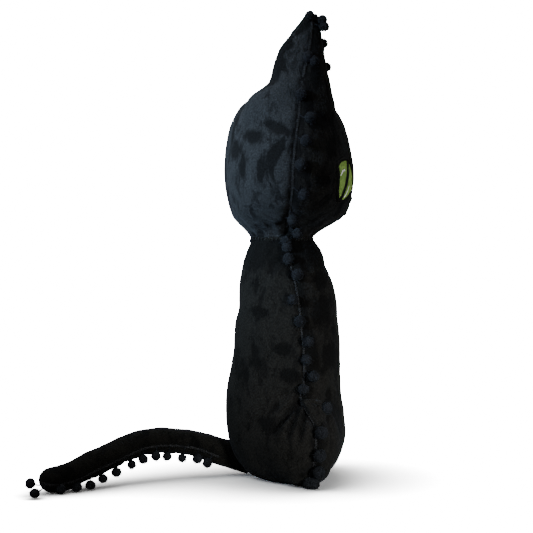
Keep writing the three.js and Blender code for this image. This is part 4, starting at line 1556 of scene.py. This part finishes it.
@dataclass
class Needle:
    """Lays satin stitches on the face about a middle point; flat points are outwards and up from it."""

    surface: Surface
    x: float
    z: float
    hand: int
    ridge: float = 0.24 * MM
    dome: float = 0.35 * MM

    def place(self, flat: np.ndarray, lift: np.ndarray) -> np.ndarray:
        """Lay a grid of flat points on the cloth and lift them off it."""
        out = np.empty((*flat.shape[:2], 3))
        for i in range(flat.shape[0]):
            for j in range(flat.shape[1]):
                x, z = self.hand * (self.x + flat[i, j, 0]), self.z + flat[i, j, 1]
                found = self.surface.from_front(x, z)
                y = found[0][1] if found else -0.03
                way = unit(np.array([x / 0.088**2, y / 0.056**2, (z - 0.278) / 0.068**2]))
                out[i, j] = np.array([x, y, z]) + way * lift[i, j]
        return out

    def satin(
        self, centres: np.ndarray, spreads: np.ndarray, lift: float, closed: bool = False, across: int = 7
    ) -> tuple:
        """A patch of satin stitches, each a ridge from one side of the patch to the other.

        Args:
            centres: The middle of each row; every second row is a thread's crest.
            spreads: Half of each row, as a vector.
            lift: How far the patch stands off the cloth.
            closed: Whether the last row joins the first.
            across: The number of points in a row.

        Returns:
            The points and faces.
        """
        t = np.linspace(-1, 1, across)
        flat = centres[:, None] + spreads[:, None] * t[None, :, None]
        crest = (np.arange(len(centres)) % 2 == 1)[:, None] * self.ridge
        round_over = np.sqrt(np.clip(1 - (0.96 * t[None, :]) ** 4, 0, 1))
        height = lift * round_over + crest * round_over + self.dome * (1 - t[None, :] ** 2)
        return slab(self.place(flat, height), self.place(flat, np.full(flat.shape[:2], -0.7 * MM)), closed)


@dataclass
class Face:
    """The embroidered eyes, nose and mouth."""

    surface: Surface
    spread: float = 0.0475
    height: float = 0.2644
    half_width: float = 0.0180
    half_height: float = 0.0191
    outline_width: float = 2.6 * MM
    nose_height: float = 0.250
    nose_half: float = 0.006

    def eye_shape(self) -> np.ndarray:
        """The eye's outline: almond, low at its inner corner and angular at its upper outer one."""
        w, h = self.half_width, self.half_height
        parts = (
            curve((-1, -0.35), (-0.75, 0.80), (0.1, 1.0)),
            curve((0.1, 1.0), (0.72, 1.02), (1.0, 0.62)),
            curve((1.0, 0.62), (1.02, -0.70), (0.15, -1.0)),
            curve((0.15, -1.0), (-0.70, -1.05), (-1.0, -0.35)),
        )
        return np.vstack(parts) * np.array([w, h])

    def inset(self, shape: np.ndarray, count: int) -> tuple:
        """Even points around a closed shape, and the way inwards at each."""
        ring = resample(np.vstack([shape, shape[:1]]), count + 1)[:-1]
        way = unit(np.roll(ring, -2, axis=0) - np.roll(ring, 2, axis=0))
        inwards = np.stack([way[:, 1], -way[:, 0]], axis=1)
        return ring, inwards * (1 if np.sum(inwards * (ring.mean(axis=0) - ring)) > 0 else -1)

    def eye(self, side: Side) -> list:
        """One eye: green satin under a black outline, with a black slit and two pale highlights."""
        needle = Needle(self.surface, self.spread, self.height, side.value)
        w, h = self.half_width, self.half_height
        ring, inwards = self.inset(self.eye_shape(), 264)
        half = 0.5 * self.outline_width
        outline = needle.satin(ring + inwards * half, inwards * half, 0.95 * MM, True, 5)
        edge = ring + inwards * 0.72 * self.outline_width
        rows = 141
        u = np.linspace(edge[:, 0].min() + 0.2 * MM, edge[:, 0].max() - 0.2 * MM, rows)
        low, high = np.empty(rows), np.empty(rows)
        following = np.roll(edge, -1, axis=0)
        for i, value in enumerate(u):
            cross = (edge[:, 0] - value) * (following[:, 0] - value) <= 0
            low[i], high[i] = edge[cross, 1].min(), edge[cross, 1].max()
        centres = np.stack([u, 0.5 * (low + high)], axis=1)
        spreads = np.stack([np.zeros(rows), 0.5 * (high - low)], axis=1)
        iris = needle.satin(centres, spreads, 0.55 * MM, across=13)
        line, across = bowed((0.08 * w, 0.85 * h), (0.12 * w, -0.86 * h), 0.4 * MM, 65)
        t = np.linspace(-1, 1, 65)[:, None]
        slit = needle.satin(line, across * (3.4 * MM * (1 - t**2) ** 0.4 + 0.3 * MM), 1.05 * MM)
        line, across = bowed((0.46 * w, 0.43 * h), (0.80 * w, 0.17 * h), 1.2 * MM, 25)
        t = np.linspace(0, 1, 25)[:, None]
        half = 1.35 * MM * (1 - t) ** 0.5 * (t + 0.12) ** 0.12 + 0.22 * MM
        comma = needle.satin(line, across * half, 1.1 * MM, across=5)
        line, across = bowed((-0.26 * w, -0.22 * h), (-0.08 * w, -0.76 * h), -1.3 * MM, 41)
        t = np.linspace(0, 1, 41)[:, None]
        half = 0.42 * MM * np.sin(np.pi * t) ** 0.5 + 0.18 * MM
        crescent = needle.satin(line, across * half, 1.0 * MM, across=5)
        pieces = []
        for part, shape, finish, slot in (
            ("outline", outline, EYE_BLACK, Slot.BLACK_THREAD),
            ("iris", iris, EYE_GREEN, Slot.GREEN_THREAD),
            ("pupil", slit, EYE_BLACK, Slot.BLACK_THREAD),
            ("comma", comma, EYE_WHITE, Slot.WHITE_THREAD),
            ("crescent", crescent, EYE_WHITE, Slot.WHITE_THREAD),
        ):
            node = f"eye_{side.label}_{part}"
            pieces.append(settle(add_object(f"{node}_satin", *shape), finish, (node,), "head"))
        return pieces

    def nose_and_mouth(self) -> list:
        """A small satin nose with a stem and two bowed strokes under it."""
        needle = Needle(self.surface, 0.0, self.nose_height, 1)
        u = np.linspace(-0.97, 0.97, 45)
        top = 3.6 * MM * (1 - 0.35 * u**2)
        bottom = -4.6 * MM * (1 - np.abs(u)) ** 0.8
        centres = np.stack([u * self.nose_half, 0.5 * (top + bottom)], axis=1)
        spreads = np.stack([np.zeros(45), 0.5 * (top - bottom)], axis=1)
        nose = add_object("nose_satin", *needle.satin(centres, spreads, 0.8 * MM))
        parts = []
        for start, end, bow in (
            ((0, -4.2 * MM), (0, -11 * MM), 0.0),
            ((0, -10.2 * MM), (9 * MM, -12 * MM), -2.4 * MM),
            ((0, -10.2 * MM), (-9 * MM, -12 * MM), 2.4 * MM),
        ):
            line, across = bowed(start, end, bow, 25)
            parts.append(needle.satin(line, across * 0.85 * MM, 0.6 * MM, across=5))
        mouth = add_object("mouth_satin", *merge(parts))
        return [
            settle(nose, EYE_BLACK, ("nose_stitching",), "head"),
            settle(mouth, EYE_BLACK, ("mouth_stitching",), "head"),
        ]

    def build(self) -> list:
        """Make the face."""
        return self.eye(Side.RIGHT) + self.eye(Side.LEFT) + self.nose_and_mouth()


@dataclass
class Tail:
    """The long stuffed tube tail with its fringe, in three stretches joined end to end."""

    stations: tuple = (
        (7, 62.66, 22), (0, 91.66, 31.5), (-22, 130.66, 34.5),
        (-56, 166.66, 22.5), (-76, 190.66, 12.6), (-90, 210.66, 11.2),
    )
    radius: float = 11.4 * MM
    lead_in: float = 28 * MM
    joints: tuple = (0.0, 78 * MM, 158 * MM)
    cuts: tuple = (35 * MM, 115 * MM)
    seam_angle: float = math.radians(-20)
    around: int = 44
    step: float = 1.3 * MM

    def __post_init__(self) -> None:
        """Work out the middle line with its lengths, and the frame at each point."""
        line = catmull(np.array(self.stations) * MM, 600)
        first = unit(line[1] - line[0])
        line = np.vstack([line[0] - first * self.lead_in, line])
        run = np.concatenate([[0], np.cumsum(np.linalg.norm(np.diff(line, axis=0), axis=1))]) - self.lead_in
        self.length = float(run[-1])
        self.s = np.arange(-self.lead_in, self.length, self.step)
        self.centre = np.stack([np.interp(self.s, run, line[:, i]) for i in range(3)], axis=1)
        self.along = unit(np.gradient(self.centre, axis=0))
        self.right = unit(np.cross(UPWARDS, self.along))
        self.up = np.cross(self.along, self.right)

    def at(self, s: float, angle: float, reach: float) -> tuple:
        """A point beside the middle line, and the way out there."""
        i = int(np.clip(np.searchsorted(self.s, s), 0, len(self.s) - 1))
        out = math.cos(angle) * self.right[i] + math.sin(angle) * self.up[i]
        return self.centre[i] + out * reach, out

    def size_at(self, s: np.ndarray) -> np.ndarray:
        """The tube's radius, rounded off at the tip."""
        gone = np.clip((s - (self.length - self.radius)) / self.radius, 0, 0.995)
        swell = 1 + 0.10 * (1 - ramp(s, -5 * MM, 25 * MM)) - 0.04 * ramp(s, 120 * MM, 180 * MM)
        return self.radius * swell * np.sqrt(1 - gone**2)

    def cloth(self) -> tuple:
        """The tube's points, ring by ring: seam groove, bend folds and lumps."""
        angle = np.linspace(0, 2 * np.pi, self.around, endpoint=False)
        sideways, upward = np.cos(angle)[None, :, None], np.sin(angle)[None, :, None]
        out = sideways * self.right[:, None] + upward * self.up[:, None]
        base = np.broadcast_to(self.size_at(self.s)[:, None], (len(self.s), self.around)).copy()
        points = self.centre[:, None] + out * base[..., None]
        flat = points.reshape(-1, 3)
        wave = smooth_noise(flat, 0.016, 41, 2).reshape(base.shape)
        fine = smooth_noise(flat, 0.006, 42).reshape(base.shape)
        off = np.abs((angle - self.seam_angle + np.pi) % (2 * np.pi) - np.pi)[None, :] * base
        s = self.s[:, None]
        calm = base / self.radius
        groove = -1.9 * MM * bell(off, 2.4 * MM)
        pucker = 0.5 * MM * np.sin(s / (2.7 * MM) + 3 * wave) * bell(off - 4.5 * MM, 4.5 * MM)
        bends = ramp(s, 20 * MM, 60 * MM) * (1 - ramp(s, 130 * MM, 165 * MM))
        folds = 0.7 * MM * bends * np.sin(s / (3.4 * MM) + 2.6 * wave + np.cos(angle)[None, :])
        under = np.clip(-np.sin(angle - 0.4), 0, 1)
        grow = calm * (groove + pucker + folds * under + 0.8 * MM * wave + 0.2 * MM * fine)
        points = points + out * grow[..., None]
        points[..., 2] = np.maximum(points[..., 2], 0.6 * MM)
        return points

    def bend(self, number: int, reach: float = 14 * MM) -> Bend:
        """Where the cloth bends at one of the tail's joints."""
        names = ("body", "tail_base", "tail_middle", "tail_tip")
        before = 8 * MM if number == 0 else reach
        middle = self.joints[number]
        start, _ = self.at(middle - before, 0, 0)
        end, _ = self.at(middle + reach, 0, 0)
        return Bend(names[number], names[number + 1], tuple(start), tuple(end))

    def build(self) -> list:
        """Make the tail's three stretches of cloth and fringe."""
        points = self.cloth()
        limits = (-self.lead_in, *self.cuts, self.length + self.step)
        names = ("base", "middle", "tip")
        rng = random.Random(SEED + 5)
        pieces = []
        for number, name in enumerate(names):
            chosen = np.nonzero((self.s >= limits[number] - self.step) & (self.s <= limits[number + 1]))[0]
            grid = points[chosen]
            faces = ring_faces(len(chosen), self.around, False)
            last = (len(chosen) - 1) * self.around
            if number == 2:
                faces.append(tuple(last + j for j in range(self.around)))
            tube_cloth = add_object(f"tail_{name}_cloth", grid.reshape(-1, 3), faces)
            thicken(tube_cloth)
            nodes = (f"tail_{name}_cover", f"tail_{name}_filling")
            bend = self.bend(number)
            pieces.append(settle(tube_cloth, TAIL_PLUSH_PAINTED_SHADE, nodes, bend))
            low, high = max(limits[number], 2 * MM), min(limits[number + 1], self.length - 1 * MM)
            places = np.arange(low, high + 0.5 * MM, 2 * MM)
            found = [self.at(s, self.seam_angle, float(self.size_at(np.array(s))) - 1.6 * MM) for s in places]
            path, out = (np.array(rows) for rows in zip(*found))
            stem = f"fringe_tail_{name}"
            fringe = Fringe(stem, (f"tail_{name}_trim",), bend, path, out, radius=TAIL_BALL)
            fringe.balls = self.balls(low, high, fringe.radius, rng, number == 2)
            pieces += fringe.build()
        return pieces

    def balls(self, low: float, high: float, radius: float, rng: random.Random, with_tip: bool) -> list:
        """Pom-poms hanging from a stretch of the seam, and two at the tip."""
        out = []
        first = 8 * MM + 15 * MM * math.ceil(max(low - 8 * MM, 0) / (15 * MM))
        for s in np.arange(first, high - (6 * MM if with_tip else 0), 15 * MM):
            swing = math.radians(rng.uniform(-66, -44))
            shift = rng.uniform(-2.5, 2.5) * MM
            root, _ = self.at(s, self.seam_angle, self.radius - 1 * MM)
            centre, _ = self.at(s + shift, swing, self.radius + 0.86 * radius)
            centre[2] = max(centre[2], BALL_SINK * radius)
            out.append((root, centre))
        if with_tip:
            for place in ((-98.0, 217.0, 10.5), (-112.0, 211.0, 4.6)):
                centre = np.array(place) * MM
                centre[2] = max(centre[2], BALL_SINK * radius)
                root, _ = self.at(self.length - 4 * MM, self.seam_angle, 0.6 * self.radius)
                out.append((root, centre))
        return out


@dataclass(frozen=True)
class Lamp:
    """A lamp and what it is aimed at: a soft square one of a size, or a spot with a beam in degrees."""

    name: str
    place: tuple
    target: tuple
    power: float
    colour: tuple
    size: float = 0.15
    beam: float = 0.0

    def build(self) -> None:
        """Put the lamp in its place, facing its target."""
        light = bpy.data.lights.new(self.name, "SPOT" if self.beam else "AREA")
        if self.beam:
            light.spot_size = math.radians(self.beam)
            light.spot_blend = 1.0
            light.shadow_soft_size = self.size
        else:
            light.size = self.size
        light.energy = self.power
        light.color = self.colour
        obj = bpy.data.objects.new(self.name, light)
        obj.location = self.place
        obj.rotation_euler = (Vector(self.target) - Vector(self.place)).to_track_quat("-Z", "Y").to_euler()
        bpy.context.scene.collection.objects.link(obj)


@dataclass
class Studio:
    """A plain pale floor, soft studio light and the camera."""

    floor_size: float = 14.0
    floor_bright: float = 28.0
    floor_shade: float = 1.2
    floor_bounce: float = 0.22
    world_bright: float = 30.0
    world_light: float = 0.23
    shadow_reach: float = 0.13
    shadow_depth: float = 9.0
    lens: float = 90.0
    film_width: float = 36.0
    camera_place: tuple = (-1.2, 0.0216, 0.1898)
    lamps: tuple = (
        Lamp("back_light", (-0.80, 1.10, 1.15), (0, 0.05, 0.28), 14, (0.95, 0.98, 1.0), size=1.4),
        Lamp("top_light", (0.1, 0.1, 1.7), (0, 0.03, 0.1), 12, (1.0, 0.98, 0.95), size=1.2),
        Lamp("front_light", (-1.1, -0.8, 0.30), (0, 0, 0.15), 1.6, (1.0, 0.95, 0.88), size=0.6),
        Lamp("head_light", (-0.85, 1.00, 0.50), (0, 0.06, 0.264), 470, (0.60, 0.80, 1.0), beam=14),
        Lamp("low_light", (-1.15, -0.75, 0.16), (0, -0.03, 0.048), 230, (0.97, 1.0, 1.0), beam=13),
    )

    def floor(self) -> None:
        """Lay the floor, which looks brighter to the camera than the light it gives back, with a painted
        contact shadow where its glow is dimmed near the cat.
        """
        bpy.ops.mesh.primitive_plane_add(size=self.floor_size, location=(0, 0, -FLOOR_GAP))
        plane = bpy.context.active_object
        plane.name = "studio_floor"
        made = bpy.data.materials.new("studio_floor")
        made.use_nodes = True
        sheet = NodeSheet(made.node_tree)
        sheet.tree.nodes.remove(sheet.tree.nodes["Principled BSDF"])
        seen = sheet.add("ShaderNodeLightPath").outputs["Is Camera Ray"]
        # Painted contact shadow: the glow falls off with ambient occlusion near the cat.
        near = sheet.add("ShaderNodeAmbientOcclusion", {"Distance": self.shadow_reach}, samples=24)
        open_share = sheet.math("POWER", near.outputs["AO"], self.shadow_depth)
        shown = sheet.math("MULTIPLY", sheet.math("MULTIPLY", seen, open_share), self.floor_bright)
        glow = sheet.add("ShaderNodeEmission", {"Strength": shown}).outputs["Emission"]
        tone = sheet.math("ADD", sheet.math("MULTIPLY", seen, self.floor_shade), self.floor_bounce)
        diffuse = sheet.add("ShaderNodeBsdfDiffuse", {"Color": tone}).outputs["BSDF"]
        both = sheet.add("ShaderNodeAddShader", {0: glow, 1: diffuse}).outputs["Shader"]
        sheet.feed(sheet.tree.nodes["Material Output"], {"Surface": both})
        plane.data.materials.append(made)

    def world(self) -> None:
        """A plain white surround."""
        world = bpy.data.worlds.new("studio_world")
        world.use_nodes = True
        bpy.context.scene.world = world
        sheet = NodeSheet(world.node_tree)
        seen = sheet.add("ShaderNodeLightPath").outputs["Is Camera Ray"]
        tone = sheet.math("ADD", sheet.math("MULTIPLY", seen, self.world_bright), self.world_light)
        sheet.feed(sheet.tree.nodes["Background"], {"Color": (1, 1, 1, 1), "Strength": tone})

    def camera(self) -> None:
        """A level camera that looks at the cat's right side."""
        data = bpy.data.cameras.new("camera")
        data.lens = self.lens
        data.sensor_width = self.film_width
        obj = bpy.data.objects.new("camera", data)
        obj.location = self.camera_place
        obj.rotation_euler = (math.pi / 2, 0, -math.pi / 2)
        bpy.context.scene.collection.objects.link(obj)
        bpy.context.scene.camera = obj

    def build(self) -> None:
        """Set the whole studio up."""
        self.floor()
        self.world()
        for lamp in self.lamps:
            lamp.build()
        self.camera()


def main() -> None:
    """Build the cat on the frame, piece by piece."""
    logging.basicConfig(level=logging.INFO, format="%(message)s")
    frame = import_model()
    body = Body(BodyForm("body_skin", 4.5 * MM, softening=70))
    head = Head(HeadForm("head_skin", 3.6 * MM))
    pieces = body.build()
    pieces += Neck().build()
    pieces += head.build()
    pieces += Face(head.surface).build()
    pieces += Tail().build()
    LOG.info("%d pieces", len(pieces))
    Studio().build()


if __name__ == "__main__":
    main()
